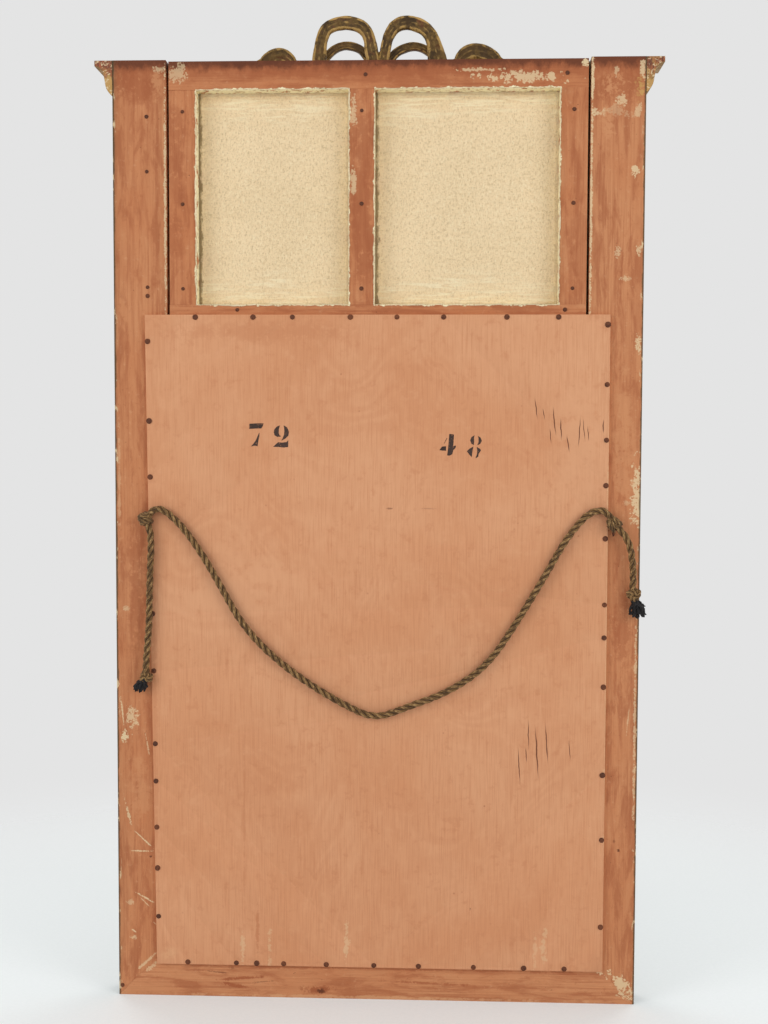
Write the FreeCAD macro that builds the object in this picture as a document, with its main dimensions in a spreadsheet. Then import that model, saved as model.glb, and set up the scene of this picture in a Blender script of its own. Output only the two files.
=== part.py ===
"""Trumeau mirror: a rebated, mitred frame with a mirror plate below, a canvas on a strainer above,
a plywood backboard over the glass, gilded mouldings, a cornice with a ribbon bow, and a hanging rope.

Millimetres. +Z is up, the front faces -Y, and left and right are as seen from the front (left is -X).
The origin is the middle of the underside of the bottom rail, halfway through the frame's thickness.
"""
import FreeCAD, Part
import math
import os
import Sketcher

SIZES = (
    # the carcass
    ("body_depth", 26, "thickness of stiles and bottom rail"),
    ("stile_glass_land", 53, "width of a stile behind, beside the mirror plate"),
    ("stile_strainer_land", 60, "width of a stile behind, beside the strainer"),
    ("sight_width", 66, "face width of stile and bottom rail, out to the sight edge"),
    ("lip_depth", 8, "thickness of the lip left in front of the rebate"),
    ("mid_rail_height", 48, "height of the rail between mirror and painting"),
    ("tenon_thickness", 4, "thickness of the rails' tenons"),
    ("tenon_length", 14, "how far the rails' tenons enter the stiles"),
    ("tenon_shoulder", 9, "step above and below a rail's tenon"),
    ("joint_play", 0.2, "play at the end and edges of a tenon"),
    # the mirror
    ("glass_width", 480, "width of the mirror plate"),
    ("glass_height", 720, "height of the mirror plate"),
    ("glass_thickness", 4, "thickness of the mirror plate"),
    ("glass_play", 2, "play round the mirror plate in its rebate"),
    ("foot_shoulder", 43, "height of the bottom rail behind its lip"),
    ("block_leg", 9, "leg of a glazing block's triangular section"),
    ("block_length", 32, "length of a glazing block"),
    # the painting's strainer
    ("window_height", 236.5, "height of the canvas windows between the strainer's bars"),
    ("strainer_gap", 3, "gap between strainer and stile"),
    ("strainer_drop", 1.7, "how far the strainer's top lies under the top of the frame"),
    ("strainer_top_height", 31.3, "height of the strainer's top bar"),
    ("strainer_foot_height", 23.5, "height of the strainer's bottom bar"),
    ("strainer_side_width", 30.5, "width of the strainer's side bars"),
    ("strainer_middle_width", 29, "width of the strainer's middle bar"),
    ("strainer_middle_shift", 17, "the middle bar's distance from the centre line"),
    ("bar_tenon_length", 11, "how far the bars' tenons enter the top and bottom bars"),
    ("bar_tenon_thickness", 6, "thickness of the bars' tenons"),
    ("bar_tenon_shoulder", 4, "step beside a bar's tenon"),
    ("canvas_thickness", 1, "thickness of the painted canvas"),
    ("canvas_turn", 9, "how far the canvas is turned over the strainer's edges"),
    # the backboard
    ("board_thickness", 4, "thickness of the plywood backboard"),
    ("board_lap_left", 16.5, "lap of the backboard past the rebate on the left"),
    ("board_lap_top_right", 17.5, "lap past the rebate at the upper right corner"),
    ("board_lap_foot_right", 8, "lap past the rebate at the lower right corner"),
    ("board_lap_foot", 4.5, "lap of the backboard past the rebate at the foot"),
    ("board_lap_top", 12, "lap of the backboard over the strainer's bottom bar"),
    # nails and tacks
    ("nail_head", 6.5, "width of a nail head"),
    ("nail_head_height", 1, "height of a nail head"),
    ("nail_shank", 1.6, "side of a nail's square shank"),
    ("nail_length", 14, "length of a nail's shank"),
    ("nail_play", 0.1, "play round a shank in its hole"),
    ("board_nail_inset", 2.7, "distance of a nail from the backboard's edge"),
    ("tack_head", 4.4, "width of a tack head"),
    ("tack_head_height", 0.6, "height of a tack head"),
    ("tack_length", 6, "length of a tack's shank"),
    # mouldings on the front
    ("edge_moulding_width", 20, "width of the outer moulding"),
    ("edge_moulding_rise", 7, "projection of the outer moulding"),
    ("sight_moulding_width", 16, "width of the mouldings round mirror and painting"),
    ("sight_moulding_rise", 8, "projection of the mouldings round mirror and painting"),
    ("cornice_clear", 1.8, "gap between the cornice and the moulding round the painting"),
    ("cornice_projection", 20, "projection of the cornice"),
    ("cornice_height", 38.2, "height of the cornice"),
    ("cornice_fillet", 6.3, "height of the cornice's top fillet"),
    ("cornice_neck_height", 18.5, "height from the top down to the cornice's neck"),
    ("cornice_neck", 9.7, "projection of the cornice's neck"),
    # the ribbon bow
    ("bow_back", 14, "how far the bow's loops stand in front of the frame's middle plane"),
    ("loop_spacing", 37.5, "distance of a loop's axis from the centre line"),
    ("loop_radius", 28, "radius of a loop's centre line"),
    ("loop_leg", 20.5, "height of a loop's legs"),
    ("ribbon_width", 15, "width of the ribbon in the loops"),
    ("ribbon_depth", 10, "depth of the ribbon in the loops"),
    ("tail_thickness", 6, "thickness of the ribbon in the tails"),
    ("tail_depth", 9, "depth of the ribbon in the tails"),
    ("knot_width", 19, "width of the bow's knot"),
    ("knot_height", 20, "height of the bow's knot over the cornice"),
    ("knot_depth", 17, "depth of the bow's knot"),
    ("ribbon_gap", 0.3, "gap between the ribbon's pieces"),
    # the rope
    ("rope_diameter", 8, "diameter of the rope"),
    ("rope_gap", 0.5, "gap between the rope and the nail heads"),
    ("eye_knot_diameter", 14, "diameter of the knots at the screw eyes"),
    ("end_knot_diameter", 13, "diameter of the knots at the rope's ends"),
    ("rope_tuft_length", 15, "length of the frayed rope ends"),
    ("rope_tuft_diameter", 15, "width of the frayed rope ends"),
    ("swag_drop", 223, "how deep the rope hangs between its eye knots"),
    ("eye_height_left", 548.2, "height of the left eye knot"),
    ("eye_height_right", 550.7, "height of the right eye knot"),
    ("eye_clear_left", 5.8, "distance of the left screw eye from the backboard's edge"),
    ("eye_clear_right", 2.7, "distance of the right screw eye from the backboard's edge"),
    ("eye_wire", 2.2, "wire diameter of a screw eye"),
    ("eye_radius", 4.2, "radius of a screw eye's ring"),
    ("eye_screw_length", 11, "length of a screw eye's shank in the wood"),
    ("eye_drop_left", 9, "height of the left rope knot over its screw eye"),
    ("eye_drop_right", 1, "height of the right rope knot over its screw eye"),
    ("eye_gap", 0.3, "gap between screw eye and knot"),
)

# Nail places, as shares of the run they stand on, from left to right and from bottom to top.
BOARD_NAILS_TOP = (0.11, 0.22, 0.355, 0.455, 0.555, 0.68, 0.765, 0.89)
BOARD_NAILS_FOOT = (0.085, 0.175, 0.287, 0.41, 0.51, 0.617, 0.713, 0.774, 0.82, 0.93)
BOARD_NAILS_LEFT = (0.07, 0.205, 0.305, 0.44, 0.515, 0.565, 0.665, 0.745, 0.813, 0.896, 0.985)
BOARD_NAILS_RIGHT = (0.075, 0.151, 0.215, 0.287, 0.345, 0.458, 0.546, 0.637, 0.755, 0.84, 0.96)
STRAINER_NAILS_SIDE = (0.075, 0.47, 0.9)
STRAINER_NAIL_TOP = 0.528
STRAINER_NAIL_FOOT = 0.836
STILE_NAILS = (0.076, 0.11, 0.565, 0.78)
TACKS_UPRIGHT = (0.13, 0.38, 0.63, 0.88)
TACKS_LEVEL = (0.1, 0.3, 0.5, 0.7, 0.9)
NAIL_FACETS = 6
ROPE_FACETS = 8
BLOCKS_UPRIGHT = (0.14, 0.38, 0.62, 0.86)
BLOCKS_LEVEL = (0.2, 0.5, 0.8)

# The rope's route on the back of the frame. A point of the swag is given by its share of the way from
# the right eye knot to the left one, and by its height over the line between them as a share of the
# swag's drop. A tail's points, its end knot and its tuft's lean (X, Z) are measured from its eye knot.
SWAG_POINTS = (
    (0.0172, 0.0459), (0.0317, 0.0537), (0.0508, 0.0284), (0.0833, -0.0457), (0.1207, -0.1677),
    (0.1589, -0.322), (0.2057, -0.521), (0.2659, -0.675), (0.3442, -0.8154), (0.4264, -0.9289),
    (0.4942, -0.9998), (0.5601, -0.9408), (0.6556, -0.8545), (0.7358, -0.7191), (0.7969, -0.5009),
    (0.8523, -0.2806), (0.8953, -0.0962), (0.9278, 0.005), (0.9507, 0.0537), (0.9717, 0.0674),
    (0.9872, 0.0519),
)
TAIL_POINTS_RIGHT = (
    (-5.8, -11.7), (-6.6, -30.7), (-5.4, -57.7), (-4.4, -88.7), (-3.8, -120.7), (-1.2, -148.7),
    (-0.1, -162.2),
)
TAIL_POINTS_LEFT = ((-11.1, -11.6), (-16.6, -24.2), (-18.9, -41.2), (-20, -56.2), (-19.5, -66.2))
END_KNOT_RIGHT = (0.2, -179.3)
END_KNOT_LEFT = (-19.1, -78.8)
TUFT_LEAN_RIGHT = (7.5, -12.5)
TUFT_LEAN_LEFT = (-7.7, -16.9)

# Width and height of the rings of a rope knot, as shares of its radius, and how deep its flats are cut.
KNOT_PROFILE = ((0.45, -0.95), (0.9, -0.6), (1.06, 0), (0.9, 0.6), (0.45, 0.95))
KNOT_EXIT_DEPTH = 0.95
TUFT_PROFILE = ((1, 0.6), (0.8, 1))
EYE_FACETS = 6
EYE_SEGMENTS = 12
WAVE_STEPS = 4

# Crests and dips of a ribbon tail, from the knot outwards: distance from the centre line and
# height of the ribbon's middle over the top of the frame.
TAIL_WAVES = ((14, 3.5), (39, 25.5), (75, 3.5), (109, 18), (142, 3.5), (164, 8.5), (186, 3.5))

doc = FreeCAD.newDocument("trumeau_mirror")
sheet = doc.addObject("Spreadsheet::Sheet", "Sizes")
for row, (alias, number, meaning) in enumerate(SIZES, start=1):
    sheet.set(f"A{row}", meaning)
    sheet.set(f"B{row}", str(number))
    sheet.setAlias(f"B{row}", alias)
doc.recompute()


class Length:
    """A length together with the sheet formula that gives it."""

    def __init__(self, value, formula):
        self.value = value
        self.formula = formula

    def joined(self, sign, other, value):
        return Length(value, f"({self.formula} {sign} {as_length(other).formula})")

    def __add__(self, other):
        return self.joined("+", other, self.value + as_length(other).value)

    def __sub__(self, other):
        return self.joined("-", other, self.value - as_length(other).value)

    def __mul__(self, other):
        return self.joined("*", other, self.value * as_length(other).value)

    def __truediv__(self, other):
        return self.joined("/", other, self.value / as_length(other).value)

    def __neg__(self):
        return Length(-self.value, f"(0 - {self.formula})")


def as_length(thing):
    return thing if isinstance(thing, Length) else Length(float(thing), repr(float(thing)))


def size(alias):
    return Length(float(sheet.get(alias)), f"{sheet.Name}.{alias}")


def bind(thing, path, length):
    thing.setExpression(path, as_length(length).formula)


# ---------------------------------------------------------------- places worked out from the sizes
back = size("body_depth") / 2
front = -back
lip_back = front + size("lip_depth")

glass_half = size("glass_width") / 2
glass_shoulder = glass_half + size("glass_play")
glass_foot = size("foot_shoulder") + size("glass_play")
glass_head = glass_foot + size("glass_height")
glass_back = lip_back + size("glass_thickness")

half_width = glass_shoulder + size("stile_glass_land")
sight_x = half_width - size("sight_width")
sight_z = size("sight_width")

strainer_shoulder = half_width - size("stile_strainer_land")
strainer_half = strainer_shoulder - size("strainer_gap")
strainer_front = lip_back + size("canvas_thickness")
strainer_foot = glass_head + size("glass_play")
window_foot = strainer_foot + size("strainer_foot_height")
window_head = window_foot + size("window_height")
strainer_head = window_head + size("strainer_top_height")
top = strainer_head + size("strainer_drop")

mid_rail_foot = strainer_foot - size("mid_rail_height") / 3
mid_rail_head = mid_rail_foot + size("mid_rail_height")
cornice_foot = top - size("cornice_height")
top_rail_foot = cornice_foot - size("cornice_clear") - size("sight_moulding_width")

board_back = back + size("board_thickness")
board_left = -(glass_shoulder + size("board_lap_left"))
board_top_right = glass_shoulder + size("board_lap_top_right")
board_foot_right = glass_shoulder + size("board_lap_foot_right")
board_foot = size("foot_shoulder") - size("board_lap_foot")
board_head = strainer_foot + size("board_lap_top")

rope_radius = size("rope_diameter") / 2
rope_y = board_back + size("nail_head_height") + size("rope_gap") + rope_radius


# ---------------------------------------------------------------- modelling helpers
PLANES = {"XY": "XY_Plane", "XZ": "XZ_Plane", "YZ": "YZ_Plane"}


def new_body(label):
    body = doc.addObject("PartDesign::Body", label)
    body.Label = label
    return body


def add_edge(sketch, start, end, radius=None):
    """A line, or an arc that bulges to the left of its travel (to the right with a negative radius)."""
    first = FreeCAD.Vector(start[0].value, start[1].value, 0)
    last = FreeCAD.Vector(end[0].value, end[1].value, 0)
    if radius is None:
        return sketch.addGeometry(Part.LineSegment(first, last)), 1, 2
    size_now = abs(radius.value)
    chord = last - first
    rise = math.sqrt(size_now ** 2 - (chord.Length / 2) ** 2)
    side = FreeCAD.Vector(chord.y, -chord.x, 0).normalize() * math.copysign(rise, radius.value)
    centre = (first + last) / 2 + side
    if radius.value > 0:
        first, last = last, first
    angles = [math.atan2(point.y - centre.y, point.x - centre.x) for point in (first, last)]
    circle = Part.Circle(centre, FreeCAD.Vector(0, 0, 1), size_now)
    index = sketch.addGeometry(Part.ArcOfCircle(circle, *angles))
    sketch.addConstraint(Sketcher.Constraint("Radius", index, size_now))
    bind(sketch, f"Constraints[{sketch.ConstraintCount - 1}]", radius if radius.value > 0 else -radius)
    return (index, 2, 1) if radius.value > 0 else (index, 1, 2)


def outline(body, plane, corners, offset, bulges=None, closed=True):
    """A sketch on one of the body's own planes, every corner tied to the sheet.

    bulges gives a radius for each edge that is an arc, by the number of the corner it starts from.
    """
    sketch = body.newObject("Sketcher::SketchObject", body.Label + "_outline")
    planes = [feature for feature in body.Origin.OriginFeatures if feature.Role == PLANES[plane]]
    sketch.AttachmentSupport = [(planes[0], "")]
    sketch.MapMode = "FlatFace"
    bind(sketch, "AttachmentOffset.Base.z", offset)
    corners = [(as_length(across), as_length(up)) for across, up in corners]
    bulges = bulges or {}
    count = len(corners) if closed else len(corners) - 1
    edges = []
    for number in range(count):
        end = corners[(number + 1) % len(corners)]
        edges.append(add_edge(sketch, corners[number], end, bulges.get(number)))
    for number in range(count if closed else count - 1):
        this, following = edges[number], edges[(number + 1) % count]
        joint = Sketcher.Constraint("Coincident", this[0], this[2], following[0], following[1])
        sketch.addConstraint(joint)
    ends = [(edge[0], edge[1]) for edge in edges]
    if not closed:
        ends.append((edges[-1][0], edges[-1][2]))
    for (index, vertex), (across, up) in zip(ends, corners):
        for kind, length in (("DistanceX", across), ("DistanceY", up)):
            sketch.addConstraint(Sketcher.Constraint(kind, -1, 1, index, vertex, length.value))
            bind(sketch, f"Constraints[{sketch.ConstraintCount - 1}]", length)
    return sketch


def pad(body, plane, corners, low, high, bulges=None):
    """Fill an outline between two heights along the plane's world axis."""
    offset = -as_length(high) if plane == "XZ" else as_length(low)
    sketch = outline(body, plane, corners, offset, bulges)
    feature = body.newObject("PartDesign::Pad", body.Label + "_pad")
    feature.Profile = sketch
    bind(feature, "Length", as_length(high) - low)
    body.Tip = feature
    return feature


def pocket(body, plane, corners, low, high, bulges=None):
    """Cut an outline away between two heights along the plane's world axis."""
    offset = -as_length(low) if plane == "XZ" else as_length(high)
    sketch = outline(body, plane, corners, offset, bulges)
    feature = body.newObject("PartDesign::Pocket", body.Label + "_pocket")
    feature.Profile = sketch
    bind(feature, "Length", as_length(high) - low)
    body.Tip = feature
    return feature


def rectangle(left, right, foot, head):
    return ((left, foot), (right, foot), (right, head), (left, head))


def polygon_wire(centre, axis, radius, sides):
    """A regular polygon round a centre, square to an axis."""
    turn = FreeCAD.Rotation(FreeCAD.Vector(0, 0, 1), axis)
    corners = []
    for number in range(sides + 1):
        angle = 2 * math.pi * (number + 0.5) / sides
        spoke = FreeCAD.Vector(radius * math.cos(angle), radius * math.sin(angle), 0)
        corners.append(centre + turn.multVec(spoke))
    corners[-1] = corners[0]
    return Part.makePolygon(corners)


def faceted_solid(wires, closed=False):
    """A flat-faced solid through wires of the same number of corners; closed joins last to first."""
    rows = [[vertex.Point for vertex in wire.OrderedVertexes] for wire in wires]
    if closed:
        rows.append(rows[0])
    faces = [] if closed else [Part.Face(wires[0]), Part.Face(wires[-1])]
    count = len(rows[0])
    for near, far in zip(rows, rows[1:]):
        for number in range(count):
            after = (number + 1) % count
            corners = [near[number], near[after], far[after], far[number], near[number]]
            faces.append(Part.Face(Part.makePolygon(corners)))
    solid = Part.Solid(Part.makeShell(faces))
    return solid if solid.Volume > 0 else solid.reversed()


def solid_part(label, shape):
    part = doc.addObject("Part::Feature", label)
    part.Label = label
    part.Shape = shape
    return part


def cut_part(label, base, tool):
    """The base piece with the tool's shape taken out; the base gives up its label to the result."""
    base.Label = label + "_blank"
    part = doc.addObject("Part::Cut", label + "_finished")
    part.Label = label
    part.Base = base
    part.Tool = tool
    return part


# ---------------------------------------------------------------- nails, tacks and their holes
def nail_solid(head, head_height, shank, length):
    """A nail along +Z with its head's underside at the origin: faceted head, square shank."""
    rim = polygon_wire(FreeCAD.Vector(0, 0, 0), FreeCAD.Vector(0, 0, 1), head / 2, NAIL_FACETS)
    disc = Part.Face(rim).extrude(FreeCAD.Vector(0, 0, head_height))
    pin = Part.makeBox(shank, shank, length, FreeCAD.Vector(-shank / 2, -shank / 2, -length))
    return disc.fuse(pin)


def shank_hole(shank, length, play):
    side = shank + 2 * play
    return Part.makeBox(side, side, length + play, FreeCAD.Vector(-side / 2, -side / 2, -length - play))


def placed(shape, point, axis):
    """A copy of the shape with its +Z turned to the axis and its origin at the point."""
    copy = shape.copy()
    turn = FreeCAD.Rotation(FreeCAD.Vector(0, 0, 1), FreeCAD.Vector(*axis))
    copy.Placement = FreeCAD.Placement(FreeCAD.Vector(*point), turn)
    return copy


def nail_group(label, places, head="nail_head", rise="nail_head_height", length="nail_length"):
    """Nails at (point, axis) places as one part, and the compound of the holes that they need."""
    nail = nail_solid(size(head).value, size(rise).value, size("nail_shank").value, size(length).value)
    hole = shank_hole(size("nail_shank").value, size(length).value, size("nail_play").value)
    solid_part(label, Part.makeCompound([placed(nail, *place) for place in places]))
    holes = Part.makeCompound([placed(hole, *place) for place in places])
    return solid_part(label + "_holes", holes)


def along(low, high, share):
    return low.value + (high.value - low.value) * share


def board_nail_places():
    inset = size("board_nail_inset").value
    level = board_back.value
    foot, head = board_foot.value, board_head.value
    places = []
    for share in BOARD_NAILS_TOP:
        places.append((along(board_left, board_top_right, share), head - inset))
    for share in BOARD_NAILS_FOOT:
        places.append((along(board_left, board_foot_right, share), foot + inset))
    for share in BOARD_NAILS_LEFT:
        places.append((board_left.value + inset, along(board_foot, board_head, share)))
    for share in BOARD_NAILS_RIGHT:
        edge = along(board_foot_right, board_top_right, share)
        places.append((edge - inset, along(board_foot, board_head, share)))
    return [((x, level, z), (0, 1, 0)) for x, z in places]


def strainer_nail_places():
    side = strainer_half.value - size("strainer_side_width").value / 2
    columns = (-side, size("strainer_middle_shift").value, side)
    places = []
    for x in columns:
        for share in STRAINER_NAILS_SIDE:
            places.append((x, along(window_foot, window_head, share)))
    tenon_edge = strainer_half - size("strainer_side_width") + size("bar_tenon_shoulder")
    corner = -tenon_edge.value - size("nail_head").value / 2
    levels = ((STRAINER_NAIL_TOP, (window_head.value + strainer_head.value) / 2),
              (STRAINER_NAIL_FOOT, (board_head.value + window_foot.value) / 2))
    for share, z in levels:
        places += [(corner, z), (along(-strainer_half, strainer_half, share), z)]
    return [((x, back.value, z), (0, 1, 0)) for x, z in places]


def stile_nail_places():
    x = (strainer_shoulder.value + half_width.value) / 2 - size("board_nail_inset").value * 3
    places = [((x, back.value, along(board_head, top, share)), (0, 1, 0)) for share in STILE_NAILS]
    corner = size("sight_width").value / 6
    places.append(((half_width.value - corner / 3, back.value, corner), (0, 1, 0)))
    return places


def tack_places():
    """Tacks through the turned canvas into the outer edges of the strainer, all round."""
    depth = strainer_front.value + size("canvas_turn").value / 2
    cloth = size("canvas_thickness").value
    places = []
    for share in TACKS_UPRIGHT:
        z = along(strainer_foot, strainer_head, share)
        places.append(((strainer_half.value + cloth, depth, z), (1, 0, 0)))
        places.append(((-strainer_half.value - cloth, depth, z), (-1, 0, 0)))
    for share in TACKS_LEVEL:
        x = along(-strainer_half, strainer_half, share)
        places.append(((x, depth, strainer_foot.value - cloth), (0, 0, -1)))
        places.append(((x, depth, strainer_head.value + cloth), (0, 0, 1)))
    return places


# ---------------------------------------------------------------- the frame
def tenon_band(foot, head):
    middle = front + size("lip_depth") / 2
    return (foot + size("tenon_shoulder"), head - size("tenon_shoulder"),
            middle - size("tenon_thickness") / 2, middle + size("tenon_thickness") / 2)


def make_stile(side, label):
    """A stile: mitred at the foot, rebated behind for glass and strainer, mortised for the rails."""
    body = new_body(label)
    face = ((half_width, 0), (half_width, top), (sight_x, top), (sight_x, sight_z))
    rebate = ((glass_shoulder, 0), (glass_shoulder, strainer_foot), (strainer_shoulder, strainer_foot),
              (strainer_shoulder, top + 1), (sight_x - 1, top + 1), (sight_x - 1, 0))
    pad(body, "XZ", [(x * side, z) for x, z in face], front, back)
    pocket(body, "XZ", [(x * side, z) for x, z in rebate], lip_back, back)
    for foot, head in ((mid_rail_foot, mid_rail_head), (top_rail_foot, top)):
        low, high, near, far = tenon_band(foot, head)
        play = size("joint_play")
        mortise = rectangle((sight_x - 1) * side, (sight_x + size("tenon_length") + play) * side,
                            low - play, high + play)
        pocket(body, "XZ", mortise, near, far)
    return body


def make_bottom_rail():
    """The bottom rail: mitred at both ends, with the glass rebate along its upper back edge."""
    body = new_body("bottom_rail")
    pad(body, "XZ", ((-half_width, 0), (half_width, 0), (sight_x, sight_z), (-sight_x, sight_z)),
        front, back)
    rebate = rectangle(-half_width, half_width, size("foot_shoulder"), sight_z + 1)
    pocket(body, "XZ", rebate, lip_back, back)
    return body


def make_cross_rail(label, foot, head):
    """A rail between the stiles, as thick as their lips, with a tenon at each end."""
    body = new_body(label)
    low, high, near, far = tenon_band(foot, head)
    reach = sight_x + size("tenon_length")
    pad(body, "XZ", rectangle(-sight_x, sight_x, foot, head), front, lip_back)
    pad(body, "XZ", rectangle(-reach, reach, low, high), near, far)
    return body


# ---------------------------------------------------------------- the strainer and its canvas
bar_middle = (strainer_front + back) / 2
bar_tenon_near = bar_middle - size("bar_tenon_thickness") / 2
bar_tenon_far = bar_middle + size("bar_tenon_thickness") / 2
strainer_inner = strainer_half - size("strainer_side_width")
middle_left = size("strainer_middle_shift") - size("strainer_middle_width") / 2
middle_right = middle_left + size("strainer_middle_width")
UPRIGHTS = (
    ("strainer_left_bar", -strainer_half, -strainer_inner),
    ("strainer_middle_bar", middle_left, middle_right),
    ("strainer_right_bar", strainer_inner, strainer_half),
)


def make_strainer_upright(label, left, right):
    body = new_body(label)
    shoulder = size("bar_tenon_shoulder")
    length = size("bar_tenon_length")
    pad(body, "XZ", rectangle(left, right, window_foot, window_head), strainer_front, back)
    pad(body, "XZ", rectangle(left + shoulder, right - shoulder, window_foot - length,
                              window_head + length), bar_tenon_near, bar_tenon_far)
    return body


def make_strainer_level(label, foot, head, mortise_foot, mortise_head):
    body = new_body(label)
    play = size("joint_play")
    shoulder = size("bar_tenon_shoulder") - play
    pad(body, "XZ", rectangle(-strainer_half, strainer_half, foot, head), strainer_front, back)
    for _, left, right in UPRIGHTS:
        mortise = rectangle(left + shoulder, right - shoulder, mortise_foot, mortise_head)
        pocket(body, "XZ", mortise, bar_tenon_near, bar_tenon_far)
    return body


def make_canvas():
    """The canvas: a sheet over the strainer's front, turned over its outer edges."""
    body = new_body("painting_canvas")
    cloth = size("canvas_thickness")
    pad(body, "XZ", rectangle(-strainer_half - cloth, strainer_half + cloth, strainer_foot - cloth,
                              strainer_head + cloth), lip_back, strainer_front + size("canvas_turn"))
    pocket(body, "XZ", rectangle(-strainer_half, strainer_half, strainer_foot, strainer_head),
           strainer_front, strainer_front + size("canvas_turn") + 1)
    return body


# ---------------------------------------------------------------- glass, glazing blocks, backboard
def make_mirror_plate():
    plate = doc.addObject("Part::Box", "mirror_plate")
    plate.Label = "mirror_plate"
    bind(plate, "Length", size("glass_width"))
    bind(plate, "Width", size("glass_thickness"))
    bind(plate, "Height", size("glass_height"))
    bind(plate, "Placement.Base.x", -glass_half)
    bind(plate, "Placement.Base.y", lip_back)
    bind(plate, "Placement.Base.z", glass_foot)
    return plate


def make_glazing_blocks():
    """Triangular blocks in the corner between the glass and the rebate, at both sides and the foot."""
    leg = size("block_leg").value
    half = size("block_length").value / 2
    level = glass_back.value
    blocks = []
    for side in (-1, 1):
        shoulder = glass_shoulder.value * side
        for share in BLOCKS_UPRIGHT:
            z = along(glass_foot, glass_head, share)
            corners = ((shoulder, level), (shoulder - leg * side, level), (shoulder, level + leg))
            points = [FreeCAD.Vector(x, y, z - half) for x, y in corners + corners[:1]]
            face = Part.Face(Part.makePolygon(points))
            blocks.append(face.extrude(FreeCAD.Vector(0, 0, 2 * half)))
    for share in BLOCKS_LEVEL:
        x = along(-glass_half, glass_half, share)
        shoulder = size("foot_shoulder").value
        corners = ((level, shoulder), (level, shoulder + leg), (level + leg, shoulder))
        points = [FreeCAD.Vector(x - half, y, z) for y, z in corners + corners[:1]]
        blocks.append(Part.Face(Part.makePolygon(points)).extrude(FreeCAD.Vector(2 * half, 0, 0)))
    return solid_part("glazing_blocks", Part.makeCompound(blocks))


def make_backboard():
    """The plywood backboard, sawn a little out of square along its right edge."""
    body = new_body("backboard")
    pad(body, "XZ", ((board_left, board_foot), (board_foot_right, board_foot),
                     (board_top_right, board_head), (board_left, board_head)), back, board_back)
    return body


# ---------------------------------------------------------------- mouldings on the front
def sight_profile():
    """Section of a sight moulding as (across, rise) corners and the radii of its arcs."""
    wide = size("sight_moulding_width")
    rise = size("sight_moulding_rise")
    corners = ((0, 0), (0, rise / 4), (wide * 0.45, rise), (wide * 0.6, rise),
               (wide * 0.92, rise * 0.72), (wide, rise * 0.4), (wide, 0))
    return corners, {1: -wide * 0.55, 3: wide * 0.4}


def edge_profile():
    wide = size("edge_moulding_width")
    rise = size("edge_moulding_rise")
    corners = ((0, 0), (0, rise * 0.55), (wide * 0.2, rise), (wide * 0.68, rise),
               (wide * 0.8, rise * 0.5), (wide, rise * 0.3), (wide, 0))
    return corners, {1: wide * 0.25, 3: wide * 0.3}


def make_moulding(label, side, profile, box, wide, mitred=("low", "high")):
    """One side of a moulding frame; box is the outer (left, right, foot, head) of that frame.

    The section is swept along the side and its ends are cut back at 45 degrees where mitred.
    """
    left, right, foot, head = box
    corners, bulges = profile
    body = new_body(label)
    rise_limit = front - wide
    if side in ("foot", "head"):
        edge, inward = (foot, 1) if side == "foot" else (head, -1)
        section = [(front - up, edge + as_length(across) * inward) for across, up in corners]
        turned = {number: radius * -inward for number, radius in bulges.items()}
        pad(body, "YZ", section, left, right, turned)
        ends = {"low": (left, 1), "high": (right, -1)}
        for name in mitred:
            corner, step = ends[name]
            over = ((corner - as_length(step), edge - as_length(inward)),
                    (corner - as_length(step), edge + (wide + 1) * inward),
                    (corner + (wide + 1) * step, edge + (wide + 1) * inward))
            pocket(body, "XZ", over, rise_limit, front)
    else:
        edge, inward = (left, 1) if side == "left" else (right, -1)
        section = [(edge + as_length(across) * inward, front - up) for across, up in corners]
        turned = {number: radius * -inward for number, radius in bulges.items()}
        pad(body, "XY", section, foot, head, turned)
        ends = {"low": (foot, 1), "high": (head, -1)}
        for name in mitred:
            corner, step = ends[name]
            over = ((edge - as_length(inward), corner - as_length(step)),
                    (edge + (wide + 1) * inward, corner - as_length(step)),
                    (edge + (wide + 1) * inward, corner + (wide + 1) * step))
            pocket(body, "XZ", over, rise_limit, front)
    return body


def make_mouldings():
    width = size("sight_moulding_width")
    around_mirror = (-sight_x - width, sight_x + width, sight_z - width, mid_rail_foot + width)
    around_painting = (-sight_x - width, sight_x + width, mid_rail_head - width, top_rail_foot + width)
    for name, box in (("mirror", around_mirror), ("painting", around_painting)):
        for side in ("left", "right", "foot", "head"):
            make_moulding(f"{name}_moulding_{side}", side, sight_profile(), box, width)
    edge_box = (-half_width, half_width, as_length(0), cornice_foot)
    edge_wide = size("edge_moulding_width")
    for side in ("left", "right"):
        make_moulding(f"edge_moulding_{side}", side, edge_profile(), edge_box, edge_wide, ("low",))
    make_moulding("edge_moulding_foot", "foot", edge_profile(), edge_box, edge_wide)


def cornice_profile():
    """Section of the cornice as (projection, height) corners: fillet, cavetto, neck and ogee."""
    out = size("cornice_projection")
    neck = size("cornice_neck")
    neck_top = top - size("cornice_neck_height") + 2
    neck_foot = cornice_foot + (neck_top - cornice_foot) * 0.62
    corners = ((0, top), (out, top), (out, top - size("cornice_fillet")),
               (out - 1.5, top - size("cornice_fillet")), (neck, neck_top), (neck - 1.5, neck_foot),
               (0.8, cornice_foot), (0, cornice_foot))
    return corners, {3: out * 0.55, 5: out * -0.95}


def make_cornice_front():
    body = new_body("cornice_front")
    out = size("cornice_projection")
    corners, bulges = cornice_profile()
    section = [(front - across, height) for across, height in corners]
    pad(body, "YZ", section, -half_width - out, half_width + out, bulges)
    for side in (-1, 1):
        over = ((half_width - 1, front + 1), (half_width + out + 1, front - out - 1),
                (half_width + out + 1, front + 1))
        pocket(body, "XY", [(x * side, y) for x, y in over], cornice_foot - 1, top + 1)
    return body


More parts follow.
